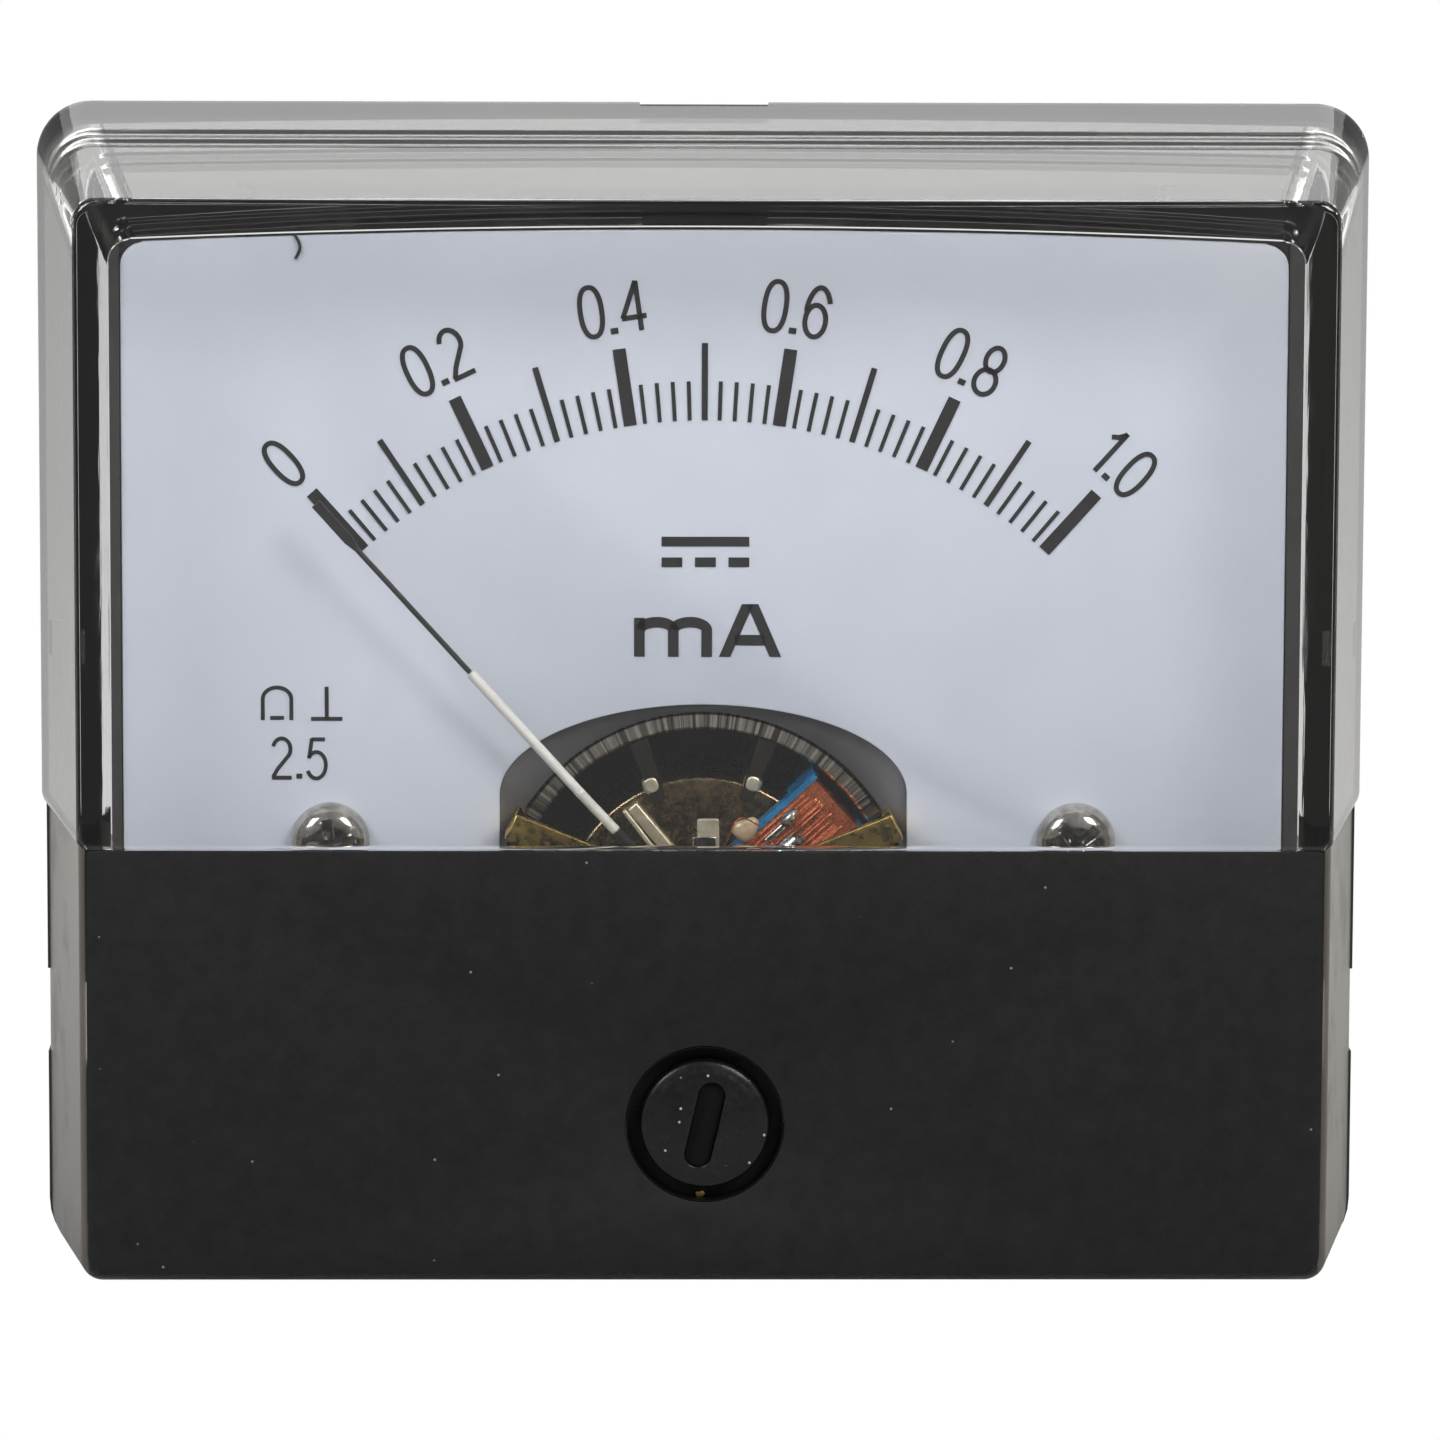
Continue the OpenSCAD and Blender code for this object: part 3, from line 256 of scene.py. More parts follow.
def quads(rows, columns, wrap_rows=False, wrap_columns=False):
    """Faces of a grid whose points are counted row by row; wrapping joins last to first."""
    i = np.arange(rows if wrap_rows else rows - 1)[:, None]
    j = np.arange(columns if wrap_columns else columns - 1)[None, :]
    i2, j2 = (i + 1) % rows, (j + 1) % columns
    corners = (i * columns + j, i * columns + j2, i2 * columns + j2, i2 * columns + j)
    return np.stack([np.broadcast_to(c, (i.size, j.size)) for c in corners], -1).reshape(-1, 4)


def piece(name, points, faces, material=None, smooth=True):
    """A mesh object from points in millimetres and a list of faces."""
    mesh = bpy.data.meshes.new(name)
    faces = faces.tolist() if hasattr(faces, "tolist") else faces
    mesh.from_pydata((np.asarray(points, float).reshape(-1, 3) * MM).tolist(), [], faces)
    mesh.update()
    mesh.polygons.foreach_set("use_smooth", np.full(len(mesh.polygons), smooth))
    made = bpy.data.objects.new(name, mesh)
    bpy.context.scene.collection.objects.link(made)
    if material is not None:
        mesh.materials.append(material)
    return made


def outward(obj):
    """Merges doubles, then turns all faces of a closed mesh outwards."""
    shape = bmesh.new()
    shape.from_mesh(obj.data)
    bmesh.ops.remove_doubles(shape, verts=shape.verts, dist=1e-7)
    bmesh.ops.recalc_face_normals(shape, faces=shape.faces)
    shape.to_mesh(obj.data)
    shape.free()
    return obj


def repaint(obj, *materials):
    """Leaves just these materials on a mesh."""
    obj.data.materials.clear()
    for material in materials:
        obj.data.materials.append(material)


def sharpen(obj, degrees):
    """Keeps edges sharper than this angle crisp, and smooths the rest by face area."""
    obj.data.polygons.foreach_set("use_smooth", np.full(len(obj.data.polygons), True))
    obj.data.set_sharp_from_angle(angle=math.radians(degrees))
    even = obj.modifiers.new("even_normals", "WEIGHTED_NORMAL")
    even.keep_sharp = True
    even.weight = 80


def bevel(obj, width_mm, segments=2, degrees=40, clamp=False):
    """Rounds every edge that is sharper than this angle."""
    edge = obj.modifiers.new("edge", "BEVEL")
    edge.width, edge.segments, edge.limit_method = width_mm * MM, segments, "ANGLE"
    edge.angle_limit, edge.use_clamp_overlap = math.radians(degrees), clamp


def loft(name, rings_of_points, material=None):
    """A closed solid through a stack of outlines (stations, points, 3) with flat ends."""
    stations, count, _ = rings_of_points.shape
    faces = quads(stations, count, wrap_columns=True).tolist()
    faces.append(list(range(count)))
    faces.append(list(range(stations * count - 1, (stations - 1) * count - 1, -1)))
    return outward(piece(name, rings_of_points, faces, material))


def boolean(target, tool, operation):
    """Joins, cuts or keeps the overlap of two closed meshes, and removes the tool."""
    change = target.modifiers.new(operation.lower(), "BOOLEAN")
    change.operation, change.object, change.solver = operation, tool, "EXACT"
    bpy.context.view_layer.update()
    graph = bpy.context.evaluated_depsgraph_get()
    result = bpy.data.meshes.new_from_object(target.evaluated_get(graph))
    target.modifiers.clear()
    target.data = result
    bpy.data.objects.remove(tool)
    return target


def arc(cx, cz, radius, start, end, count=16):
    """Points of an arc: centre plus radius times cosine and sine of the angle, in degrees."""
    a = np.radians(np.linspace(start, end, count + 1))
    return np.stack([cx + radius * np.cos(a), cz + radius * np.sin(a)], -1)


def at_depth(outline, y):
    """Lifts an outline of x and z to a row of points at depth y."""
    return np.stack([outline[:, 0], np.full(len(outline), y), outline[:, 1]], -1)


def slab(name, outline, y_rear, y_front, material=None):
    """A flat solid: one outline given thickness along y."""
    return loft(name, np.array([at_depth(outline, y_rear), at_depth(outline, y_front)]), material)


def disc_bar(name, radius, y_rear, y_front, x=0.0, z=0.0, count=96):
    """A round bar along y."""
    return slab(name, arc(x, z, radius, 0, 360, count)[:-1], y_rear, y_front)


# %% [markdown]
# ## The clear cover
# The cover is one injection moulding in clear styrene plastic: a deep window section whose
# four walls lean in, and a lower section that stands back a little at the sides and in front.
# Its walls act as lenses, so the look depends on their true thickness. Both sections are lofts
# through rounded outlines, joined by a boolean, and the cavity is a third loft cut out of them.
# The corner radius shrinks from the rim to the front, as on the tool that moulds it.

# %% Outlines of the cover
CORNER_STEPS = 20
SIDE_LEAN, TOP_LEAN, BOTTOM_LEAN = 2.2, 3.5, 1.5
LOWER_INSET, FRONT_STEP, STEP_Z = 0.3, 0.4, -5.5
WALL, EDGE_ROUND = 1.3, 0.25
GROOVE_START, GROOVE_RUN, GROOVE_DEPTH = 3.1, 2.1, 0.09
# Corner radii at the rim, and how much each has shrunk at the front
TOP_CORNER, STEP_CORNER, FOOT_CORNER = (2.4, 1.4), (1.0, 0.55), (2.8, 1.9)
rim_y, window_y = cover_high[1], cover_low[1]
lower_y = window_y + FRONT_STEP


def rounded_box(half, low, high, r_top, r_low):
    """Outline of a box with its own radius at the top corners and at the low ones."""
    return np.concatenate([
        arc(half - r_top, high - r_top, r_top, 0, 90, CORNER_STEPS),
        arc(r_top - half, high - r_top, r_top, 90, 180, CORNER_STEPS),
        arc(r_low - half, low + r_low, r_low, 180, 270, CORNER_STEPS),
        arc(half - r_low, low + r_low, r_low, 270, 360, CORNER_STEPS),
    ])


def wall_stations(front, round_r):
    """Depths and insets from the rim to the front, with a quarter circle at the edge."""
    turn_in = np.radians(np.linspace(0, 90, 9))
    wall = np.linspace(rim_y, front + round_r, 71)[:-1]
    depth = np.concatenate([wall, front + round_r * (1 - np.sin(turn_in))])
    inset = np.concatenate([np.zeros(len(wall)), round_r * (1 - np.cos(turn_in))])
    return depth, inset


def top_fall(y):
    """How far the top has come down at depth y: a straight slope with two shallow grooves."""
    depth = rim_y - y
    run = np.clip((depth - GROOVE_START) / GROOVE_RUN, 0, 1)
    groove = GROOVE_DEPTH * np.sin(2 * np.pi * run) ** 2
    return TOP_LEAN * depth / (rim_y - window_y) + groove


def window_section():
    """The window section: its sides lean in evenly, and two shallow grooves run along the top."""
    rows = []
    for y, inset in zip(*wall_stations(window_y, EDGE_ROUND)):
        share = (rim_y - y) / (rim_y - window_y)
        rows.append(at_depth(rounded_box(
            cover_high[0] - SIDE_LEAN * share - inset,
            STEP_Z + inset,
            cover_high[2] - top_fall(y) - inset,
            TOP_CORNER[0] - TOP_CORNER[1] * share, STEP_CORNER[0] - STEP_CORNER[1] * share,
        ), y))
    return loft("cover_window", np.array(rows))


def lower_section():
    """The lower section: narrower than the window section and a little less deep."""
    rows = []
    for y, inset in zip(*wall_stations(lower_y, EDGE_ROUND)):
        share = (rim_y - y) / (rim_y - lower_y)
        rows.append(at_depth(rounded_box(
            cover_high[0] - LOWER_INSET - (SIDE_LEAN - 0.25) * share - inset,
            cover_low[2] + BOTTOM_LEAN * share + inset,
            STEP_Z + WALL, 0.3, FOOT_CORNER[0] - FOOT_CORNER[1] * share,
        ), y))
    return loft("cover_lower", np.array(rows))


# %% [markdown]
# The cavity's top edge is arched, which draws the curved dark line above the dial. Its walls
# lean in with the outer walls.

# %% The cavity
ARCH_RISE = 0.6


def arched_outline(half, low, high, rise, r):
    """Outline whose top edge is high - rise * (x / half)^2, with rounded corners."""
    x = np.linspace(half - r, r - half, 41)
    top = np.stack([x, high - rise * (x / half) ** 2], -1)
    return np.concatenate([
        top,
        arc(r - half, high - rise - r, r, 98, 180, 8),
        arc(r - half, low + r, r, 180, 270, 8),
        arc(half - r, low + r, r, 270, 360, 8),
        arc(half - r, high - rise - r, r, 0, 82, 8),
    ])


def cavity():
    """From the rim to the inner face of the window: a straight loft and a shallow pocket."""
    half = cover_high[0] - LOWER_INSET - WALL
    front_half = cover_high[0] - SIDE_LEAN - WALL - 0.1
    top, front_top = cover_high[2] - WALL, cover_high[2] - TOP_LEAN - WALL + 0.2
    front_floor, pocket_floor = cover_low[2] + BOTTOM_LEAN + WALL, STEP_Z - 0.9
    inner = lower_y + WALL
    lean = (front_half - half) / (rim_y - inner)
    past, soft = 0.5, 0.06
    body = loft("cavity", np.array([
        at_depth(arched_outline(half - lean * past, -top, top, ARCH_RISE, 1.2), rim_y + past),
        at_depth(arched_outline(front_half, front_floor, front_top, ARCH_RISE, 1.2), inner),
    ]))
    mouth = arched_outline(front_half, pocket_floor, front_top, ARCH_RISE, 1.0)
    end = arched_outline(
        front_half - soft, pocket_floor + soft, front_top - soft, ARCH_RISE, 1.0 - soft,
    )
    inner_face = window_y + WALL
    pocket = loft("pocket", np.array([
        at_depth(mouth, inner + past), at_depth(mouth, inner_face + soft), at_depth(end, inner_face),
    ]))
    return boolean(body, pocket, "UNION")


# %% [markdown]
# A thumb-nail scoop in the top of the rim serves to prise the cover off. The well around the
# adjuster's head is sunk in the lower section, and a tube behind it guides the stem.

# %% Join and cut the cover
HOLE_R, HOLE_DEPTH, STEM_HOLE_R = 3.4, 0.9, 1.86
BOSS_WALL, BOSS_REAR_Y = 0.4, -9.2
SCOOP_R, SCOOP_DEPTH = 2.8, 0.15


def make_cover():
    """Window section and lower section, less the cavity, the well and the scoop."""
    cover = boolean(window_section(), lower_section(), "UNION")
    cover = boolean(cover, cavity(), "DIFFERENCE")
    boss = disc_bar("boss", HOLE_R + BOSS_WALL, BOSS_REAR_Y, lower_y + WALL - 0.2, 0, adjuster_z)
    cover = boolean(cover, boss, "UNION")
    well = disc_bar("well", HOLE_R, lower_y + HOLE_DEPTH, lower_y - 0.5, 0, adjuster_z)
    cover = boolean(cover, well, "DIFFERENCE")
    stem_hole = disc_bar("stem_hole", STEM_HOLE_R, rim_y, lower_y, 0, adjuster_z)
    cover = boolean(cover, stem_hole, "DIFFERENCE")
    rim_arc = arc(0, rim_y, SCOOP_R, 0, 360, 64)[:-1]
    scoop = np.array([
        np.stack([rim_arc[:, 0], rim_arc[:, 1], np.full(64, z)], -1)
        for z in (cover_high[2] - SCOOP_DEPTH, cover_high[2] + 0.6)
    ])
    cover = boolean(cover, loft("scoop", scoop), "DIFFERENCE")
    cover.name = "clear_cover"
    return cover


clear_cover = make_cover()
print("cover faces:", len(clear_cover.data.polygons))

# %% [markdown]
# ## Clear moulded styrene
# Clear styrene bends light strongly (index 1.57) and has a faint grey cast that shows
# where light runs a long way through a wall. Lamps shine through it onto the dial, so rays
# that look for a lamp pass straight through with the same faint cast.
# Flow lines and handling scratches are far finer than can be seen, so they are drawn a
# little coarser, as a slow swell and a few rougher smears.

# %% Cover material


def clear_styrene(name, tint, rough_low, rough_high, streak_um, shade="#f4f5f5", clearness=1.0):
    """Clear plastic: a slow swell, fine flow streaks along the walls and a few rougher smears.

    shade is the colour of the light let through to what lies behind; clearness is 1 for clear.
    """
    material, place = blank(name)
    swell = add(material, "TexNoise", {"Vector": place, "Scale": per_m(9.0), "Detail": 2.0})
    bump = add(material, "Bump", {"Height": swell, "Strength": 1.0, "Distance": 0.00003})
    thin = add(material, "Mapping", {"Vector": place, "Scale": (1.0, 0.02, 0.05)})
    streaks = add(material, "TexNoise", {
        "Vector": thin, "Scale": per_m(0.5), "Detail": 3.0, "Roughness": 0.7,
    })
    lined = add(material, "Bump", {
        "Height": streaks, "Strength": 1.0, "Distance": streak_um * 1e-6,
        "Normal": bump,
    })
    smear = add(material, "TexNoise", {
        "Vector": place, "Scale": per_m(4.0), "Detail": 5.0, "Roughness": 0.7,
    })
    rough = add(material, "MapRange", {
        "Value": smear, "From Min": 0.5, "From Max": 0.8,
        "To Min": rough_low, "To Max": rough_high,
    })
    glass = add(material, "BsdfPrincipled", {
        "Base Color": linear(tint), "Roughness": rough,
        "Normal": lined, "Transmission Weight": clearness, "IOR": 1.57,
    })
    open_light = add(material, "BsdfTransparent", {"Color": linear(shade)})
    path = add(material, "LightPath")
    either = add(material, "MixShader", {
        0: path.outputs["Is Shadow Ray"], 1: glass, 2: open_light,
    })
    add(material, "OutputMaterial", {"Surface": either})
    return material


# The window's face is polished, the walls show flow lines, and the mould was etched to a dull
# surface on the lower section's sides, its foot and the rear face of its rim.
SIDE_X, RIM_X, FOOT_Z = 24.5, 26.45, -21.0
MOULDED, ETCHED = 0, 2
repaint(
    clear_cover,
    clear_styrene("styrene_clear_moulded", "#f6f7f8", 0.0, 0.05, 0.0),
    clear_styrene("styrene_clear_wall", "#f1f1ee", 0.02, 0.12, 6.0, "#cccccc"),
    clear_styrene("styrene_clear_etched", "#a39c93", 0.3, 0.5, 4.0, "#8a8884", 0.72),
)
cover_mesh = clear_cover.data
middle = np.empty(len(cover_mesh.polygons) * 3)
facing = np.empty(len(cover_mesh.polygons) * 3)
cover_mesh.polygons.foreach_get("center", middle)
cover_mesh.polygons.foreach_get("normal", facing)
middle, facing = middle.reshape(-1, 3) / MM, facing.reshape(-1, 3)
is_wall = np.abs(facing[:, 1]) < 0.5
is_lower = middle[:, 2] < STEP_Z
is_etched = is_wall & is_lower & (np.abs(middle[:, 0]) > SIDE_X)
is_etched |= is_wall & (middle[:, 2] < FOOT_Z)
is_etched |= is_lower & (facing[:, 1] > 0.5) & (middle[:, 1] > rim_y - 0.3)
is_etched |= is_lower & (np.abs(middle[:, 0]) > RIM_X)
choice = np.where(is_etched, ETCHED, MOULDED + is_wall).astype(np.int32)
cover_mesh.polygons.foreach_set("material_index", choice)
sharpen(clear_cover, 12)
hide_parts("front_cover")
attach(clear_cover, "meter_body")

# %% [markdown]
# ## Finishes of the solids
# Each is named for its real material and how its surface was made. The numbers in a row are
# the size of its patches in millimetres, its roughness and how far that swings, how metallic
# it is, and the grain and height of its relief in millimetres and micrometres.

# %% Moulded, printed and painted surfaces
PAINTED = {
    # Black ABS from a spark-eroded mould: an even, fine grain and a soft sheen.
    "case_black": ("abs_black_moulded", "#2b2b2b", "#323131", 6.0, 0.45, 0.08, 0.0, 0.25, 6.0),
    # Black film on the lower section: dead matt with an even tooth, and a little dust.
    "mask_black": ("film_black_matt", "#121414", "#1d1f1f", 0.9, 0.6, 0.06, 0.0, 0.2, 14.0),
    # Stoved white lacquer on sheet aluminium: a cool matt white with a faint orange peel.
    "dial_white": ("lacquer_white_stoved", "#d2d7e4", "#cad0df", 9.0, 0.5, 0.05, 0.0, 0.5, 2.0),
    # Screen-printed ink, matt and very dark.
    "mark_black": ("ink_black_printed", "#101115", "#1a1b1f", 1.2, 0.55, 0.05, 0.0, 0.12, 2.0),
    # Glossy black thermoplastic: near-mirror dome with faint swirls.
    "adjuster_black": ("acetal_black_glossy", "#0d0e0f", "#151617", 0.8, 0.3, 0.08, 0.0, 0.5, 9.0),
    "needle_black": ("lacquer_black_matt", "#1a1a1a", "#2b2b2b", 0.9, 0.42, 0.08, 0.0, 0.1, 2.0),
    # Black paint in the well, which takes up nearly all light, and a near-black that paints the deep
    # shade in the slot.
    "well_black": ("paint_black_matt", "#090909", "#101010", 0.6, 0.5, 0.08, 0.0, 0.15, 6.0),
    "painted_slot_shade": ("slot_shade_painted_black", "#040404", "#070707", 0.8, 0.75, 0.05, 0.0, 0.2, 5.0),
    "field_grey": ("zinc_sheet_matt", "#6c6d70", "#626366", 1.5, 0.55, 0.08, 0.0, 0.15, 4.0),
    "varnish": ("shellac_drop", "#b9a68a", "#9c8768", 0.5, 0.25, 0.08, 0.0, 0.2, 6.0),
}

# %% [markdown]
# A metal has no colour of its own apart from what it reflects, so its two tints stand for
# clean and tarnished plate, and its roughness says how it was drawn, stamped or turned.

# %% Metals, bare or plated
METALS = {
    # Bright nickel over brass, with thin warm tarnish in patches.
    "nickel": ("nickel_bright_plated", "#d6d2ca", "#8e867a", 0.8, 0.14, 0.08, 1.0, 0.25, 2.0),
    "nickel_satin": ("nickel_satin_stamped", "#e6ddc6", "#b9ad92", 0.6, 0.4, 0.1, 0.75, 0.15, 5.0),
    "lever_nickel": ("nickel_stamped", "#bdbbb5", "#8b877e", 1.2, 0.26, 0.1, 1.0, 0.15, 3.0),
    # Zinc plate on rolled threads: yellowish grey and satin.
    "stud_steel": ("zinc_plated_steel", "#b9b39f", "#93896f", 1.6, 0.34, 0.1, 1.0, 0.15, 3.0),
    "washer_steel": ("zinc_stamped", "#b7b7b2", "#8e8e88", 1.4, 0.36, 0.1, 1.0, 0.2, 3.0),
    "tag_tinned": ("tin_dipped", "#c9c9c6", "#9d9d99", 1.0, 0.3, 0.12, 1.0, 0.3, 5.0),
    "weight_tin": ("tinned_bronze", "#c6c5c2", "#97948d", 0.7, 0.24, 0.08, 1.0, 0.1, 3.0),
    # The core is a plated magnet with a brownish, slightly dull skin.
    "core_nickel": ("magnet_plated", "#a08c6a", "#5a4c39", 0.5, 0.26, 0.1, 1.0, 0.2, 5.0),
    # Die-cast frame, chemically blackened so that it throws no light on the scale.
    "frame_cast": ("zinc_die_cast_blackened", "#1d1b19", "#2e2b27", 1.2, 0.4, 0.12, 0.6, 0.2, 6.0),
    # Turned brass, lightly tarnished, and rolled strip with long fine scratches.
    "terminal_brass": ("brass_turned", "#d0a95c", "#a37f3f", 2.2, 0.28, 0.1, 1.0, 0.12, 3.0),
    "screw_brass": ("brass_screw", "#cdb271", "#9c8045", 1.0, 0.26, 0.08, 1.0, 0.1, 2.0),
    "bridge_brass": ("brass_rolled_strip", "#d3b55e", "#b3954a", 1.0, 0.3, 0.1, 1.0, 0.15, 4.0),
    "spring_bronze": ("phosphor_bronze_strip", "#b58453", "#8a5c34", 0.8, 0.3, 0.08, 1.0, 0.1, 1.5),
    "clip_steel": ("spring_steel", "#8f8f8f", "#6c6c6a", 1.0, 0.3, 0.08, 1.0, 0.1, 2.0),
    "pivot_steel": ("steel_polished", "#a9abb0", "#8c8e92", 1.0, 0.15, 0.05, 1.0, 0.1, 1.0),
    "hub_aluminium": ("aluminium_stamped", "#c3c4c6", "#95969a", 0.9, 0.28, 0.08, 1.0, 0.12, 3.0),
    # Blue anodised foil former.
    "former_blue": ("aluminium_blue_anodised", "#2489bf", "#155d90", 0.9, 0.3, 0.1, 0.3, 0.15, 2.0),
    # Enamelled copper wire: red-brown metal under clear varnish.
    "copper_wire": ("copper_wire_enamelled", "#cf7446", "#a04e2b", 0.35, 0.28, 0.1, 0.7, 0.1, 2.0),
}

# %% [markdown]
# A few surfaces need more: dust on the mask, varnish on the wire, scratches along the strip,
# rings on the turned button, and a weaker reflection where paint is dead matt.

# %% Dust, varnish and direction
EXTRAS = {
    "mask_black": {"ior": 1.38, "dust": ("#8a8c8d", 1.3, 0.055, 0.3), "detail": 8.0},
    "dial_white": {"patch_bias": 0.55},
    "adjuster_black": {"ior": 1.45, "dust": ("#c9c8c3", 0.6, 0.12, 0.28), "rings": (0.0, adjuster_z)},
    "well_black": {"ior": 1.3, "dust": ("#b9b7b0", 0.7, 0.06, 0.12)},
    "painted_slot_shade": {"ior": 1.3},
    "varnish": {"coat": 0.4},
    "bridge_brass": {"stretch": (0.12, 1, 1)},
    "copper_wire": {"coat": 0.5},
}
finishes = {
    slot: finish(*row, **EXTRAS.get(slot, {})) for slot, row in {**PAINTED, **METALS}.items()
}
print("finishes:", len(finishes))

# %% [markdown]
# ## Three finishes of their own
# A jewel is clear ruby. The ring's front was faced with a chattering tool, which leaves marks along
# its radius: they are a real relief, and their bright and dark sheen is painted into the colour. The
# pointer's white lacquer stops short of the hub: its material looks at how far a point lies from the
# axis and changes over within a tenth of a millimetre, so the tube's own mesh serves for both.

# %% Ruby, faced ring and lacquered tube


def ruby():
    """Synthetic ruby: clear deep red with the index of corundum."""
    material, place = blank("corundum_ruby_polished")
    clouds = add(material, "TexNoise", {"Vector": place, "Scale": per_m(0.4)})
    tint = add(material, "Mix", {
        "Factor": clouds, MIX_A: linear("#c81e46"), MIX_B: linear("#8e0f2e"),
    }, data_type="RGBA")
    return surface(material, {
        "Base Color": tint.outputs[MIX_OUT], "Roughness": 0.05,
        "IOR": 1.76, "Transmission Weight": 0.8,
    })


def faced_ring():
    """Nickel over a faced surface: noise read along the angle round the ring's axis lifts a real
    relief and paints the marks' bright and dark sheen into the colour.
    """
    material, place = blank("nickel_faced_painted_sheen")
    centred = add(material, "Mapping", {"Vector": place, "Location": (0.0, 0.0, -axis_z * MM)})
    parts = add(material, "SeparateXYZ", {"Vector": centred})
    angle = add(material, "Math", {
        0: parts.outputs["Z"], 1: parts.outputs["X"],
    }, operation="ARCTAN2")
    marks = add(material, "TexNoise", {
        "W": angle, "Scale": 28.0, "Detail": 3.0, "Roughness": 0.75,
    }, noise_dimensions="1D")
    share = add(material, "MapRange", {"Value": marks, "From Min": 0.36, "From Max": 0.64})
    # painted sheen: the dark and bright tints stand for how the faced marks catch the light
    tint = add(material, "Mix", {
        "Factor": share, MIX_A: linear("#4c463e"), MIX_B: linear("#e2dccf"),
    }, data_type="RGBA")
    return surface(material, {
        "Base Color": tint.outputs[MIX_OUT], "Roughness": 0.24, "Metallic": 1.0,
    }, marks, 30.0)


ROOT_MM = 5.7


def split_tube():
    """Off-white lacquer beyond ROOT_MM from the axis, dark metal nearer to it."""
    material, place = blank("lacquer_offwhite_on_dark_tube")
    centred = add(material, "Mapping", {"Vector": place, "Location": (0.0, 0.0, -axis_z * MM)})
    flat = add(material, "VectorMath", {
        0: centred, 1: (1.0, 0.0, 1.0),
    }, operation="MULTIPLY")
    far = add(material, "VectorMath", {0: flat}, operation="LENGTH")
    share = add(material, "MapRange", {
        "Value": far.outputs["Value"],
        "From Min": (ROOT_MM - 0.05) * MM, "From Max": (ROOT_MM + 0.05) * MM,
    })
    mottle = add(material, "TexNoise", {"Vector": place, "Scale": per_m(0.8), "Detail": 3.0})
    white = add(material, "Mix", {
        "Factor": mottle, MIX_A: linear("#e6e5e2"), MIX_B: linear("#cfcdc8"),
    }, data_type="RGBA")
    tint = add(material, "Mix", {
        "Factor": share, MIX_A: linear("#1c1b1a"), MIX_B: white.outputs[MIX_OUT],
    }, data_type="RGBA")
    return surface(material, {"Base Color": tint.outputs[MIX_OUT], "Roughness": 0.35}, mottle, 2.0)


finishes.update(ruby=ruby(), yoke_iron=faced_ring(), tube_white=split_tube())

# %% [markdown]
# ## Dressing the solids
# A solid whose shape is right keeps its mesh and takes its finish from its slot.

# %% Give each solid its finish
SLOTS = {
    "base_housing": "case_black", "face_mask": "mask_black", "dial_plate": "dial_white",
    "scale_marks": "mark_black", "dial_screws": "nickel", "mounting_studs": "stud_steel",
    "terminal_studs": "terminal_brass", "terminal_nuts": "terminal_brass",
    "terminal_washers": "washer_steel", "solder_tags": "tag_tinned", "yoke_ring": "yoke_iron",
    "core_magnet": "core_nickel", "movement_frame": "frame_cast", "movement_screws": "nickel",
    "front_bridge": "bridge_brass", "front_jewel_screw": "screw_brass",
    "front_lock_nut": "screw_brass", "front_jewel": "ruby", "rear_jewel_screw": "screw_brass",
    "rear_lock_nut": "screw_brass", "rear_jewel": "ruby", "rear_hairspring": "spring_bronze",
    "front_hairspring": "spring_bronze", "zero_lever": "lever_nickel",
    "zero_adjuster": "adjuster_black", "adjuster_clip": "clip_steel",
    "coil_former": "former_blue", "coil_winding": "copper_wire", "front_pivot": "pivot_steel",
    "rear_pivot": "pivot_steel", "pointer_hub": "hub_aluminium", "pointer_tube": "tube_white",
    "pointer_needle": "needle_black", "balance_weights": "weight_tin",
}
for name, slot in SLOTS.items():
    solid = cad_nodes[name]
    repaint(solid, finishes[slot])

# %% [markdown]
# ## Edges that catch the light
# No real edge is perfectly sharp: stamping, casting and plating all leave a small radius, and
# that radius draws the thin bright lines by which the eye reads a part's shape. A merged copy
# of each solid gets a narrow bevel. The solid's flat faces are joined again first, so that
# the bevel follows true edges only.

# %% Softened copies


def softened(node, width_mm, body):
    """A merged copy of a solid with its edges rounded; it stands in for the solid."""
    solid = cad_nodes[node]
    shape = bmesh.new()
    shape.from_mesh(solid.data)
    bmesh.ops.transform(shape, matrix=solid.matrix_world, verts=shape.verts)
    bmesh.ops.remove_doubles(shape, verts=shape.verts, dist=2e-6)
    bmesh.ops.dissolve_limit(shape, angle_limit=0.02, verts=shape.verts, edges=shape.edges)
    mesh = bpy.data.meshes.new(node + "_soft")
    shape.to_mesh(mesh)
    shape.free()
    made = bpy.data.objects.new(node + "_soft", mesh)
    bpy.context.scene.collection.objects.link(made)
    repaint(made, finishes[SLOTS[node]])
    bevel(made, width_mm, degrees=38)
    sharpen(made, 50)
    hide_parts(node)
    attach(made, body)


FIXED_EDGES = {
    "yoke_ring": 0.14, "core_magnet": 0.12, "front_bridge": 0.05, "terminal_nuts": 0.18,
    "solder_tags": 0.06, "terminal_washers": 0.06, "front_lock_nut": 0.05, "movement_frame": 0.05,
}
for name, width in FIXED_EDGES.items():
    softened(name, width, "meter_body")
softened("zero_adjuster", 0.08, "zero_adjuster_body")
softened("zero_lever", 0.04, "zero_lever_body")
print("softened:", len(FIXED_EDGES) + 2)

# %% [markdown]
# The opening in the dial ends in half an ellipse at the top, which a punch cuts as easily as
# a straight edge. The plate is lofted through its outline and the punch is taken out of it.

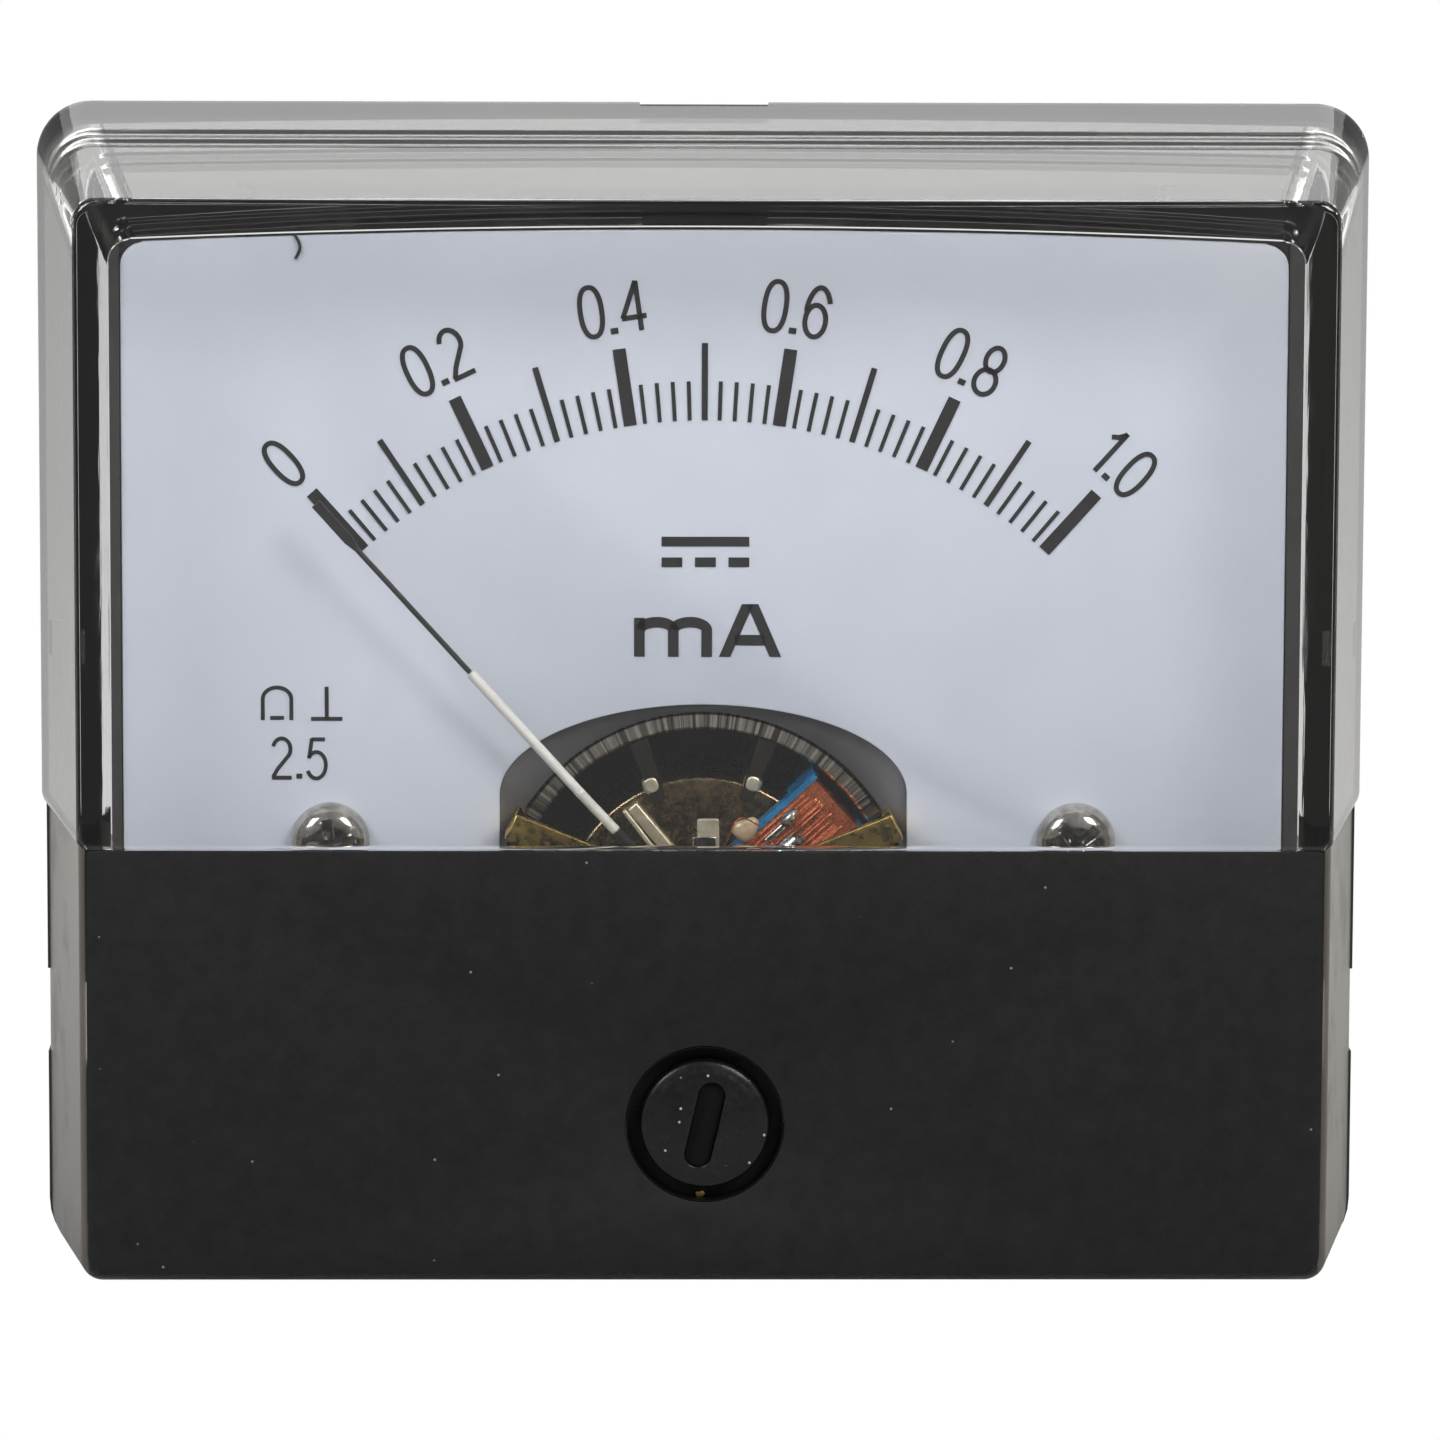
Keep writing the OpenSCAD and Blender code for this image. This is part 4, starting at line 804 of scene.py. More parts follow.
# %% The dial and its arched opening
OPENING_HALF, ARCH_TOP, ARCH_HEIGHT = 8.85, -0.1, 3.95
half_circle = np.radians(np.linspace(0, 180, 61))
opening_low = dial_low[2] - 1.0
arch_z = ARCH_TOP - ARCH_HEIGHT + ARCH_HEIGHT * np.sin(half_circle)
punch_outline = np.concatenate([
    np.stack([OPENING_HALF * np.cos(half_circle), arch_z], -1),
    [[-OPENING_HALF, opening_low], [OPENING_HALF, opening_low]],
])
dial_outline = arched_outline(dial_high[0], dial_low[2], dial_high[2], ARCH_RISE, 1.0)
lacquered = slab("lacquered_dial", dial_outline, dial_high[1], dial_y)
punch = slab("punch", punch_outline, dial_high[1] + 1, dial_y - 1)
lacquered = boolean(lacquered, punch, "DIFFERENCE")
repaint(lacquered, finishes["dial_white"])
bevel(lacquered, 0.04)
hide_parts("dial_plate")
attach(lacquered, "meter_body")

# %% [markdown]
# Behind the opening a grey plate closes the space round the ring. It is stamped sheet, with a
# round hole that clears the ring.

# %% The grey field plate behind it
FIELD_T, FIELD_GAP, FIELD_HALF, FIELD_LOW, FIELD_TOP, FIELD_CORNER = 0.3, 0.15, 9.6, -8.0, 0.3, 2.0
field_hole_r = (ring_high[0] - ring_low[0]) / 2 + 0.1
field_y = dial_high[1] + FIELD_GAP
field_outline = rounded_box(FIELD_HALF, FIELD_LOW, FIELD_TOP, FIELD_CORNER, FIELD_CORNER)
field_plate = slab("field_plate", field_outline, field_y + FIELD_T, field_y)
field_hole = disc_bar("field_hole", field_hole_r, field_y + 1, field_y - 1, 0, axis_z)
field_plate = boolean(field_plate, field_hole, "DIFFERENCE")
repaint(field_plate, finishes["field_grey"])
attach(field_plate, "meter_body")

# %% [markdown]
# ## Threads
# A rolled thread is a helix: going once round the stud moves the crest one pitch along it.
# The radius at a point therefore depends on y / pitch minus angle / full turn, and the
# fraction of that number rises and falls like a roof between root and crest.

# %% Threaded studs


def threaded(x, z, y_front, y_rear, radius, pitch):
    """Points (rows, columns, 3) of a stud with a V thread that fades in at the free end."""
    rows = int((y_rear - y_front) / pitch * 6)
    y = np.linspace(y_front, y_rear, rows)[:, None]
    turn_by = np.linspace(0, 2 * math.pi, 25)[None, :-1]
    roof = np.abs(2 * np.mod(y / pitch - turn_by / (2 * math.pi), 1.0) - 1)
    free = np.clip((y_rear - y) / pitch, 0, 1)
    r = radius - 0.6 * pitch * roof * free - 0.25 * pitch * (1 - free)
    return np.stack([x + r * np.cos(turn_by), y + 0 * r, z + r * np.sin(turn_by)], -1)


def joined(name, solids, material):
    """One mesh from several grids of points, each closed by its two flat ends."""
    points, faces, start = [], [], 0
    for grid in solids:
        rows, columns, _ = grid.shape
        body = (quads(rows, columns, wrap_columns=True) + start).tolist()
        first = list(range(start, start + columns))
        last = list(range(start + rows * columns - 1, start + (rows - 1) * columns - 1, -1))
        points.append(grid.reshape(-1, 3))
        faces += body + [first, last]
        start += rows * columns
    return outward(piece(name, np.concatenate(points), faces, material))


# %% [markdown]
# Each terminal is a threaded brass stud with a hexagon head moulded in behind; the four steel
# studs hold the meter to its panel.

# %% Two terminals and four mounting studs
HEAD_R, HEAD_T, TERMINAL_R, TERMINAL_PITCH = 3.6, 2.0, 1.98, 0.7
FOOT_R, STUD_R, STUD_PITCH = 2.0, 1.48, 0.5
terminal_low, terminal_high = box_mm("terminal_studs")
terminal_x = terminal_high[0] - HEAD_R
terminal_z = (terminal_low[2] + terminal_high[2]) / 2
terminal_grids = []
head_front, head_rear = terminal_low[1], terminal_low[1] + HEAD_T
for x in (-terminal_x, terminal_x):
    terminal_grids.append(threaded(
        x, terminal_z, head_rear - 0.1, terminal_high[1], TERMINAL_R, TERMINAL_PITCH,
    ))
    hexagon = arc(x, terminal_z, HEAD_R, 0, 360, 6)[:-1]
    terminal_grids.append(np.array([at_depth(hexagon, head_front), at_depth(hexagon, head_rear)]))
terminals = joined("terminal_threads", terminal_grids, finishes["terminal_brass"])
sharpen(terminals, 40)
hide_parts("terminal_studs")
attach(terminals, "meter_body")
stud_high = box_mm("mounting_studs")[1]
stud_x, stud_z = stud_high[0] - FOOT_R, stud_high[2] - FOOT_R
studs = joined("stud_threads", [
    threaded(x, z, -1.0, stud_high[1], STUD_R, STUD_PITCH)
    for x in (-stud_x, stud_x) for z in (-stud_z, stud_z)
], finishes["stud_steel"])
sharpen(studs, 40)
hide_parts("mounting_studs")
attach(studs, "meter_body")
print("stud faces:", len(studs.data.polygons), "at", round(stud_x, 2), round(stud_z, 2))

# %% [markdown]
# ## Pan-head screws
# A pan head is struck cold from wire: a flat-topped dome with a tight edge radius, and a cross
# recess that tapers inwards. The profile is spun round the axis, then two wedges cut the cross.

# %% Dial screws


def spun(profile, x, z, count=64):
    """Turns a profile of (radius, y) round an axis along y."""
    profile = np.asarray(profile, float)
    a = np.linspace(0, 2 * math.pi, count + 1)[None, :-1]
    r, y = profile[:, :1], profile[:, 1:]
    return np.stack([x + r * np.cos(a), y + 0 * a, z + r * np.sin(a)], -1)


def wedge(name, x, z, y_mouth, y_floor, length, width, lean):
    """A tapering bar that cuts one arm of a recess: wide at the mouth, narrow at its floor."""
    c, s = math.cos(lean), math.sin(lean)
    rings_of_points = []
    for y, k in ((y_mouth - 0.3, 1.25), (y_mouth, 1.1), (y_floor, 0.5)):
        half = [length * k / 2, width * (0.5 + k / 2) / 2]
        corners = np.array([[-1, -1], [1, -1], [1, 1], [-1, 1]]) * half
        flat = corners @ np.array([[c, s], [-s, c]]) + [x, z]
        rings_of_points.append(at_depth(flat, y))
    return loft(name, np.array(rings_of_points))


# %% [markdown]
# The profile runs from the middle of the flat top over the edge and down to the shank. The
# two screws were tightened by hand, so their crosses stand at different angles.

# %% The pan's profile, and the two screws
PAN_DEPTH, PAN_FLAT, SHANK_R, RECESS = 1.1, 0.45, 1.0, (0.75, 2.0, 0.42)
screw_low, screw_high = box_mm("dial_screws")
head_r = (screw_high[2] - screw_low[2]) / 2
screw_x, screw_z = screw_high[0] - head_r, (screw_low[2] + screw_high[2]) / 2
screw_y = screw_low[1]
edge_angle = np.radians(np.linspace(8, 90, 10))
pan = np.concatenate([
    [[0.02, screw_y], [head_r * PAN_FLAT, screw_y + 0.02]],
    np.stack([
        head_r * (PAN_FLAT + (1 - PAN_FLAT) * np.sin(edge_angle)),
        screw_y + 0.02 + 0.95 * (1 - np.cos(edge_angle)),
    ], -1),
    [[head_r, screw_y + PAN_DEPTH], [SHANK_R, screw_y + PAN_DEPTH], [SHANK_R, screw_high[1]],
     [0.02, screw_high[1]]],
])


def cross_screw(x, lean):
    """One screw: the spun head and shank, less the two arms of the cross."""
    head = loft("pan_head", spun(pan, x, screw_z))
    depth, length, width = RECESS
    for turned in (lean, lean + 90):
        arm = wedge("arm", x, screw_z, screw_y, screw_y + depth, length, width, math.radians(turned))
        head = boolean(head, arm, "DIFFERENCE")
    return head


left_screw, right_screw = cross_screw(-screw_x, 8), cross_screw(screw_x, 38)
pair = boolean(left_screw, right_screw, "UNION")
pair.name = "pan_head_screws"
repaint(pair, finishes["nickel"])
bevel(pair, 0.05)
sharpen(pair, 60)
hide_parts("dial_screws")
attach(pair, "meter_body")
print("screws at", round(screw_x, 2), round(screw_z, 2), "head radius", round(head_r, 2))

# %% [markdown]
# ## The wound coil
# The coil is many turns of enamelled wire, laid side by side on a thin former. Each turn is a
# tube carried round a rectangle with rounded corners. The turns wander a little, and a few
# cross over their neighbours, as they do when a coil is wound fast on a small machine.

# %% Wire turns


def local(points):
    """From the coil's own frame (radial, depth, across) to the meter's frame."""
    points = np.asarray(points, float)
    c, s = math.cos(ZERO_ANGLE), math.sin(ZERO_ANGLE)
    return np.stack([
        points[..., 0] * c + points[..., 2] * s, points[..., 1],
        axis_z - points[..., 0] * s + points[..., 2] * c,
    ], -1)


def tube(path, radius, sides=6, closed=False):
    """Points (rows, sides, 3) of a round wire along a path."""
    path = np.asarray(path, float)
    along = (np.roll(path, -1, 0) - np.roll(path, 1, 0)) if closed else np.gradient(path, axis=0)
    along /= np.linalg.norm(along, axis=1)[:, None]
    side = np.cross(along, [0.31, 0.77, 0.56])
    side /= np.linalg.norm(side, axis=1)[:, None]
    up = np.cross(side, along)
    a = np.linspace(0, 2 * math.pi, sides + 1)[:-1][None, :, None]
    return path[:, None] + radius * (np.cos(a) * side[:, None] + np.sin(a) * up[:, None])


def own_box(name):
    """Bounds of a solid in the coil's own frame, in millimetres."""
    solid = cad_nodes[name]
    where = np.array([solid.matrix_world @ v.co for v in solid.data.vertices]) / MM
    x, z = where[:, 0], where[:, 2] - axis_z
    c, s = math.cos(ZERO_ANGLE), math.sin(ZERO_ANGLE)
    mine = np.stack([x * c - z * s, where[:, 1], x * s + z * c], -1)
    return mine.min(0), mine.max(0)


def rings_closed(name, grids, material):
    """One mesh of closed wire loops."""
    points = np.concatenate([g.reshape(-1, 3) for g in grids])
    rows, sides, _ = grids[0].shape
    loop = quads(rows, sides, wrap_rows=True, wrap_columns=True)
    faces = np.concatenate([loop + i * rows * sides for i in range(len(grids))])
    return outward(piece(name, points, faces, material))


# %% [markdown]
# The turns lie on the solid winding, which stays below them and closes the gaps. Random
# numbers come from one seeded source, so that the coil is the same on every run.

# %% Wind the coil
TURNS, WIRE_R, WANDER, CROSSING = 24, 0.062, 0.035, 0.3
wound_low, wound_high = own_box("coil_winding")
half_depth = (wound_high[1] - wound_low[1]) / 2
mid = (wound_high[1] + wound_low[1]) / 2
shake = np.random.default_rng(11)
turn_grids = []
for across in np.linspace(wound_low[2] + 0.08, wound_high[2] - 0.08, TURNS):
    corners = rounded_box(wound_high[0] - 0.02, -1, 1, 0.9, 0.9)[::5]
    y = np.where(corners[:, 1] > 0, corners[:, 1] - 1 + half_depth, corners[:, 1] + 1 - half_depth)
    wander = across + shake.normal(0, WANDER, len(corners))
    wander[corners[:, 1] < 0] += shake.choice([0.0, 0.0, CROSSING, -CROSSING])
    lift = np.where(np.abs(wander - across) > 0.2, -0.07, 0.0)
    wander = np.clip(wander, wound_low[2] + 0.05, wound_high[2] - 0.05)
    path = np.stack([corners[:, 0], mid + y + lift, wander], -1)
    turn_grids.append(local(tube(path, WIRE_R, closed=True)))
wires = rings_closed("wire_turns", turn_grids, finishes["copper_wire"])
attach(wires, "pointer_body")
print("wire faces:", len(wires.data.polygons))

# %% [markdown]
# ## The black mask
# The lower section is closed by a black film on its face. Its corners follow the face, so they
# are much tighter than the rim's. The well of the adjuster is black too: a thin liner hides
# the clear wall.

# %% Mask and well
film_outline = rounded_box(mask_high[0], mask_low[2], mask_high[2], 0.25, 0.75)
film = slab("black_film", film_outline, mask_high[1], mask_low[1])
film_hole = disc_bar("film_hole", HOLE_R, mask_high[1] + 1, mask_low[1] - 1, 0, adjuster_z)
film = boolean(film, film_hole, "DIFFERENCE")
repaint(film, finishes["mask_black"])
bevel(film, 0.05)
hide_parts("face_mask")
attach(film, "meter_body")

well_floor_y = lower_y + HOLE_DEPTH
liner_in, liner_out, liner_top = STEM_HOLE_R + 0.05, HOLE_R - 0.03, mask_low[1] + 0.02
liner_rear, liner_front = well_floor_y - 0.005, well_floor_y - 0.035
liner_profile = [
    [liner_in, liner_rear], [liner_out, liner_rear], [liner_out, liner_top],
    [liner_out - 0.03, liner_top], [liner_out - 0.03, liner_front], [liner_in, liner_front],
]
liner_faces = quads(6, 96, wrap_rows=True, wrap_columns=True)
liner = outward(piece(
    "well_liner", spun(liner_profile, 0, adjuster_z, 96), liner_faces, finishes["well_black"],
))
sharpen(liner, 40)
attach(liner, "meter_body")

# %% [markdown]
# ## Small parts of the movement
# Round the pivot there are a few parts too fine for the solid model: the two lugs turned over
# the magnet, the bright arm that holds it, the end of the hairspring's anchor, the drop of
# varnish that holds the wire's end, the solder on the coil, and the leads as fine as hair.

# %% Small parts


def plate(name, outline, y_rear, y_front, coat, body, edge_mm=0.06):
    """A flat part with softened edges; coat names its finish."""
    made = slab(name, np.asarray(outline, float), y_rear, y_front, finishes[coat])
    bevel(made, edge_mm, segments=3, clamp=True)
    sharpen(made, 50)
    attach(made, body)


def strip_outline(a, b, width, round_r):
    """A straight strip from a to b with rounded corners."""
    a, b = np.array(a, float), np.array(b, float)
    length = np.linalg.norm(b - a)
    shape = rounded_box(length / 2, -width / 2, width / 2, round_r, round_r)[::4]
    along = (b - a) / length
    return (a + b) / 2 + shape[:, :1] * along + shape[:, 1:] * np.array([-along[1], along[0]])


def drop(name, centre, size, coat, body, lean=0.0):
    """A small drop: a ball flattened along y, squeezed and turned in its plane."""
    u = np.linspace(0, math.pi, 13)[:, None]
    v = np.linspace(0, 2 * math.pi, 25)[None, :-1]
    lump = 1 + 0.12 * np.sin(3 * v + 1) * np.sin(u) ** 2
    x = size[0] * np.sin(u) * np.cos(v) * lump
    y = -size[1] * np.cos(u) + 0 * v
    z = size[2] * np.sin(u) * np.sin(v) * lump
    c, s = math.cos(lean), math.sin(lean)
    grid = np.stack([centre[0] + x * c - z * s, centre[1] + y, centre[2] + x * s + z * c], -1)
    made = outward(piece(name, grid, quads(13, 24, wrap_columns=True), finishes[coat]))
    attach(made, body)


def lead(points, count=30):
    """A smooth curve through a few points: each coordinate is a cubic through them."""
    points = np.asarray(points, float)
    t = np.linspace(0, 1, len(points))
    fine = np.linspace(0, 1, count)
    degree = len(points) - 1
    return np.stack([np.polyval(np.polyfit(t, points[:, k], degree), fine) for k in range(3)], -1)


# %% [markdown]
# The lugs and arms are stamped and turned over, so they are flat strips with rolled edges.
# They stand in front of the core, but short of the coil that sweeps past them.

# %% Lugs, arms and tab in front of the core
core_front, bridge_front = core_low[1], box_mm("front_bridge")[0][1]
for side, spot in zip("lr", np.array([(-2.36, -3.56), (2.3, -3.5)])):
    out = (spot - [0, axis_z]) / np.linalg.norm(spot - [0, axis_z])
    plate(
        "core_lug_" + side, strip_outline(spot - out * 0.75, spot + out * 0.1, 0.8, 0.35),
        core_front + 0.5, core_front - 0.42, "nickel_satin", "meter_body", 0.18,
    )
plate(
    "core_arm", strip_outline((-3.1, -4.75), (-1.3, -6.9), 0.55, 0.1),
    core_front + 0.1, core_front - 0.58, "nickel_satin", "meter_body", 0.1,
)
plate(
    "core_arm_rim", strip_outline((-3.45, -4.95), (-1.8, -7.1), 0.22, 0.08),
    core_front + 0.1, core_front - 0.62, "nickel_satin", "meter_body", 0.06,
)
plate(
    "anchor_tab", strip_outline((0.2, -7.2), (0.16, -4.75), 0.95, 0.12),
    bridge_front - 0.05, bridge_front - 0.3, "nickel_satin", "zero_lever_body", 0.05,
)

# %% [markdown]
# What is fixed to the coil rides on the pointer's body, so it turns with the coil.

# %% Varnish, solder and leads on the coil
coil_front = wound_low[1]
drop(
    "varnish_drop", (1.85, coil_front - 0.08, -5.6), (0.62, 0.28, 0.5),
    "varnish", "pointer_body", 0.6,
)
drop(
    "solder_ball", (3.75, coil_front - 0.2, -5.1), (0.48, 0.35, 0.3),
    "weight_tin", "pointer_body", 0.9,
)
plate(
    "solder_tail", strip_outline((2.7, -6.15), (3.7, -5.25), 0.3, 0.12),
    coil_front - 0.05, coil_front - 0.3, "weight_tin", "pointer_body", 0.08,
)
LEAD_R, LEAD_PATHS = 0.035, (
    [(0.8, -6.5, -6.9), (1.3, -6.75, -6.1), (2.1, -6.6, -6.25), (2.9, -6.3, -6.7)],
    [(0.6, -6.5, -6.7), (1.2, -6.8, -5.4), (1.6, -6.7, -4.9), (2.4, -6.2, -5.3)],
    [(0.7, -6.5, -7.2), (1.6, -6.8, -6.6), (2.4, -6.6, -6.5), (3.0, -6.3, -6.0)],
)
lead_grids = [tube(lead(path), LEAD_R) for path in LEAD_PATHS]
leads = joined("coil_leads", lead_grids, finishes["copper_wire"])
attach(leads, "pointer_body")
print("leads and drops added:", len(LEAD_PATHS) + 3)

# %% [markdown]
# A near-black plate set into the screwdriver slot paints the deep shade there, and a crumb of brass
# has come to rest on the floor of the well.

# %% Slot floor and crumb
SLOT_LEAN, SLOT_REACH = math.radians(13), 1.86
slot_end = SLOT_REACH * np.array([math.sin(SLOT_LEAN), math.cos(SLOT_LEAN)])
slot_centre = np.array([0.0, adjuster_z])
# painted shade: this plate darkens the slot where only shade falls
plate(
    "slot_shade_plate_painted", strip_outline(slot_centre - slot_end, slot_centre + slot_end, 1.12, 0.5),
    head_low[1] + 0.75, head_low[1] + 0.42,
    "painted_slot_shade", "zero_adjuster_body", 0.03,
)
CRUMB = [(-0.38, -20.55), (-0.05, -20.47), (0.05, -20.62), (-0.1, -20.78), (-0.34, -20.72)]
plate(
    "brass_crumb", CRUMB, well_floor_y - 0.04, well_floor_y - 0.16,
    "bridge_brass", "meter_body", 0.02,
)

# %% [markdown]
# ## Printing on the dial
# The numbers are drawn as a pen would draw them: a line of even width carried along the
# middle of each stroke. A stroke is a strip between two offset curves, lifted off the lacquer
# by the thickness of the ink.

# %% Strokes and numbers
INK = 0.03
printed_points, printed_faces = [], []


def stroke(line, width, flat_ends=False):
    """A strip: each point of the line plus and minus half the width along its normal."""
    line = np.asarray(line, float)
    along = np.gradient(line, axis=0)
    along /= np.linalg.norm(along, axis=1)[:, None]
    side = np.stack([-along[:, 1], along[:, 0]], -1)
    if flat_ends:
        side = np.stack([1 / side[:, 0], np.zeros(len(side))], -1)
    return np.stack([line + side * width / 2, line - side * width / 2])


def lay_ink(strip, centre, angle):
    """Turns a strip by an angle about its own origin, moves it and gives it its thickness."""
    c, s = math.cos(angle), math.sin(angle)
    flat = strip @ np.array([[c, -s], [s, c]]) + np.asarray(centre)
    two, count, _ = flat.shape
    low, high = (
        np.stack([flat[..., 0], np.full((two, count), y), flat[..., 1]], -1)
        for y in (dial_y, dial_y - INK)
    )
    ring = np.stack([low[0], low[1], high[1], high[0]])
    start = sum(len(p) for p in printed_points)
    printed_points.append(ring.reshape(-1, 3))
    body = quads(4, count, wrap_rows=True)
    first = np.arange(4) * count
    ends = np.array([first, first[::-1] + count - 1])
    printed_faces.append(np.concatenate([body, ends]) + start)


def ellipse(cx, cz, rx, rz, start, end, power=1.0, count=40):
    """Points of an oval: the sine and cosine are raised to a power to square it off."""
    a = np.radians(np.linspace(start, end, count + 1))
    c, s = np.cos(a), np.sin(a)
    return np.stack([
        cx + rx * np.sign(c) * np.abs(c) ** power, cz + rz * np.sign(s) * np.abs(s) ** power,
    ], -1)


def line(*points):
    """A straight or bent line with a few points on each stretch."""
    points = np.array(points, float)
    stretches = [np.linspace(a, b, 6)[:-1] for a, b in zip(points, points[1:])]
    return np.concatenate(stretches + [points[-1:]])


GLYPHS = {
    "0": ([ellipse(0.27, 0.5, 0.25, 0.5, 0, 360, 0.85)], 0.60),
    "1": ([line((0.30, 0), (0.30, 1)), line((0.31, 0.98), (0.20, 0.83), (0.06, 0.74))], 0.44),
    "2": ([np.concatenate([
        ellipse(0.27, 0.73, 0.24, 0.27, 165, -35), line((0.44, 0.55), (0.16, 0.24), (0.03, 0.03)),
    ]), line((0.0, 0.02), (0.54, 0.02))], 0.60),
    "4": ([line((0.42, 0), (0.42, 1)), line((0.42, 1), (0.02, 0.28)),
           line((0.0, 0.28), (0.58, 0.28))], 0.62),
    "5": ([line((0.50, 0.98), (0.13, 0.98)), line((0.14, 1.0), (0.06, 0.50)),
           ellipse(0.26, 0.33, 0.26, 0.33, 145, -155)], 0.60),
    "6": ([ellipse(0.28, 0.32, 0.24, 0.32, 0, 360), ellipse(0.32, 0.44, 0.28, 0.56, 175, 28)], 0.60),
    "8": ([ellipse(0.28, 0.745, 0.21, 0.255, 0, 360), ellipse(0.28, 0.26, 0.25, 0.26, 0, 360)], 0.60),
    ".": ([line((0.15, 0.0), (0.15, 0.12))], 0.36),
}


def write(text, centre, angle, height, width, pen):
    """Writes a row of numbers, centred, turned by an angle; width squeezes the figures."""
    total = sum(GLYPHS[c][1] for c in text)
    x = -total / 2
    for c in text:
        for mark in GLYPHS[c][0]:
            placed = (mark + [x, -0.5]) * [height * width, height]
            lay_ink(stroke(placed, pen * (1.5 if c == "." else 1)), centre, angle)
        x += GLYPHS[c][1]


# %% [markdown]
# The scale runs from 0 to 1.0. Each number stands on the radius through its long tick and is
# turned with it. Below stand the generic unit, the sign for direct current, and the two
# common signs for a moving-coil movement and for upright mounting.

# %% Print the scale's numbers and signs
LABEL_R = 27.1
for i, label in enumerate(("0", "0.2", "0.4", "0.6", "0.8", "1.0")):
    turn_by = ZERO_ANGLE + SWEEP * i / 5
    spot = (LABEL_R * math.sin(turn_by), axis_z + LABEL_R * math.cos(turn_by))
    write(label, spot, turn_by, 2.15, 0.86, 0.22)


def sign(lines, centre, pen, size=1.0, flat=False):
    """Draws a few strokes round a centre."""
    for mark in lines:
        lay_ink(stroke(np.asarray(mark) * size, pen, flat), centre, 0.0)


# %% [markdown]
# The signs are strokes round a centre. A capital A has sloping legs with level ends, so those
# are cut flat and not square to the stroke.

# %% The signs
SIGN_PEN, UNIT_PEN, UNIT_AT = 0.17, 0.46, (0.1, 3.15)
# Direct current: a full line over three dashes
sign([line((-1.9, 0.45), (1.9, 0.45))] + [
    line((x - 0.45, -0.45), (x + 0.45, -0.45)) for x in (-1.45, 0.0, 1.45)
], (0.05, 6.58), 0.42)
# The unit: a small m with two arches and a capital A
sign([
    line((-2.9, -1.15), (-2.9, 0.55)),
    np.concatenate([ellipse(-2.15, 0.0, 0.72, 0.36, 170, 0), line((-1.43, 0.0), (-1.43, -1.15))]),
    np.concatenate([ellipse(-0.70, 0.0, 0.72, 0.36, 170, 0), line((0.02, 0.0), (0.02, -1.15))]),
    line((1.25, -0.42), (2.55, -0.42)),
], UNIT_AT, UNIT_PEN)
sign([
    line((0.80, -1.15), (1.80, 1.15)), line((3.00, -1.15), (2.00, 1.15)),
], UNIT_AT, UNIT_PEN, flat=True)
# Moving-coil movement: a horseshoe with a bar between its feet
sign([
    np.concatenate([
        line((-0.62, -0.72), (-0.62, 0.2)), ellipse(0.0, 0.2, 0.62, 0.5, 180, 0),
        line((0.62, 0.2), (0.62, -0.72)),
    ]),
    line((-0.30, -0.62), (0.30, -0.62)),
], (-18.5, -0.07), SIGN_PEN)
# Upright mounting
upright = [line((-0.68, -0.68), (0.68, -0.68)), line((0.0, -0.68), (0.0, 0.72))]
sign(upright, (-16.35, -0.05), SIGN_PEN)
write("2.5", (-17.5, -2.47), 0.0, 1.75, 0.9, SIGN_PEN)
numbers = outward(piece(
    "dial_print", np.concatenate(printed_points), np.concatenate(printed_faces),
    finishes["mark_black"], smooth=False,
))
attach(numbers, "meter_body")
print("printed faces:", len(numbers.data.polygons))

# %% [markdown]
# One stray fibre lies on the lacquer near the top left, as dust does in a cover that was
# closed by hand.

# %% Stray fibre
fibre = joined("stray_fibre", [tube(lead([
    (-17.68, dial_y - 0.06, 20.35), (-17.45, dial_y - 0.09, 19.9), (-17.45, dial_y - 0.08, 19.6),
    (-17.62, dial_y - 0.05, 19.25),
]), 0.07)], finishes["mark_black"])
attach(fibre, "meter_body")

# %% [markdown]
# ## Light and floor
# Two soft boxes stand high at the left and right in front, the right one stronger. A large one
# hangs above and behind, and a long low strip behind it draws the stripe along the cover's
# top. The room and the floor look plain white, but they light the meter only dimly: a bright
# room would lay a veil of reflections over the window.

# %% Lamps


def soft_box(name, place, size, watts, colour="#ffffff"):
    """An area lamp that looks at the middle of the meter."""
    lamp = bpy.data.lights.new(name, "AREA")
    lamp.shape, lamp.size, lamp.size_y = "RECTANGLE", size[0] * MM, size[1] * MM
    lamp.energy, lamp.color = watts, linear(colour)[:3]
    obj = bpy.data.objects.new(name, lamp)
    obj.location = np.array(place) * MM
    obj.rotation_euler = Vector(-np.array(place)).to_track_quat("-Z", "Y").to_euler()
    bpy.context.scene.collection.objects.link(obj)


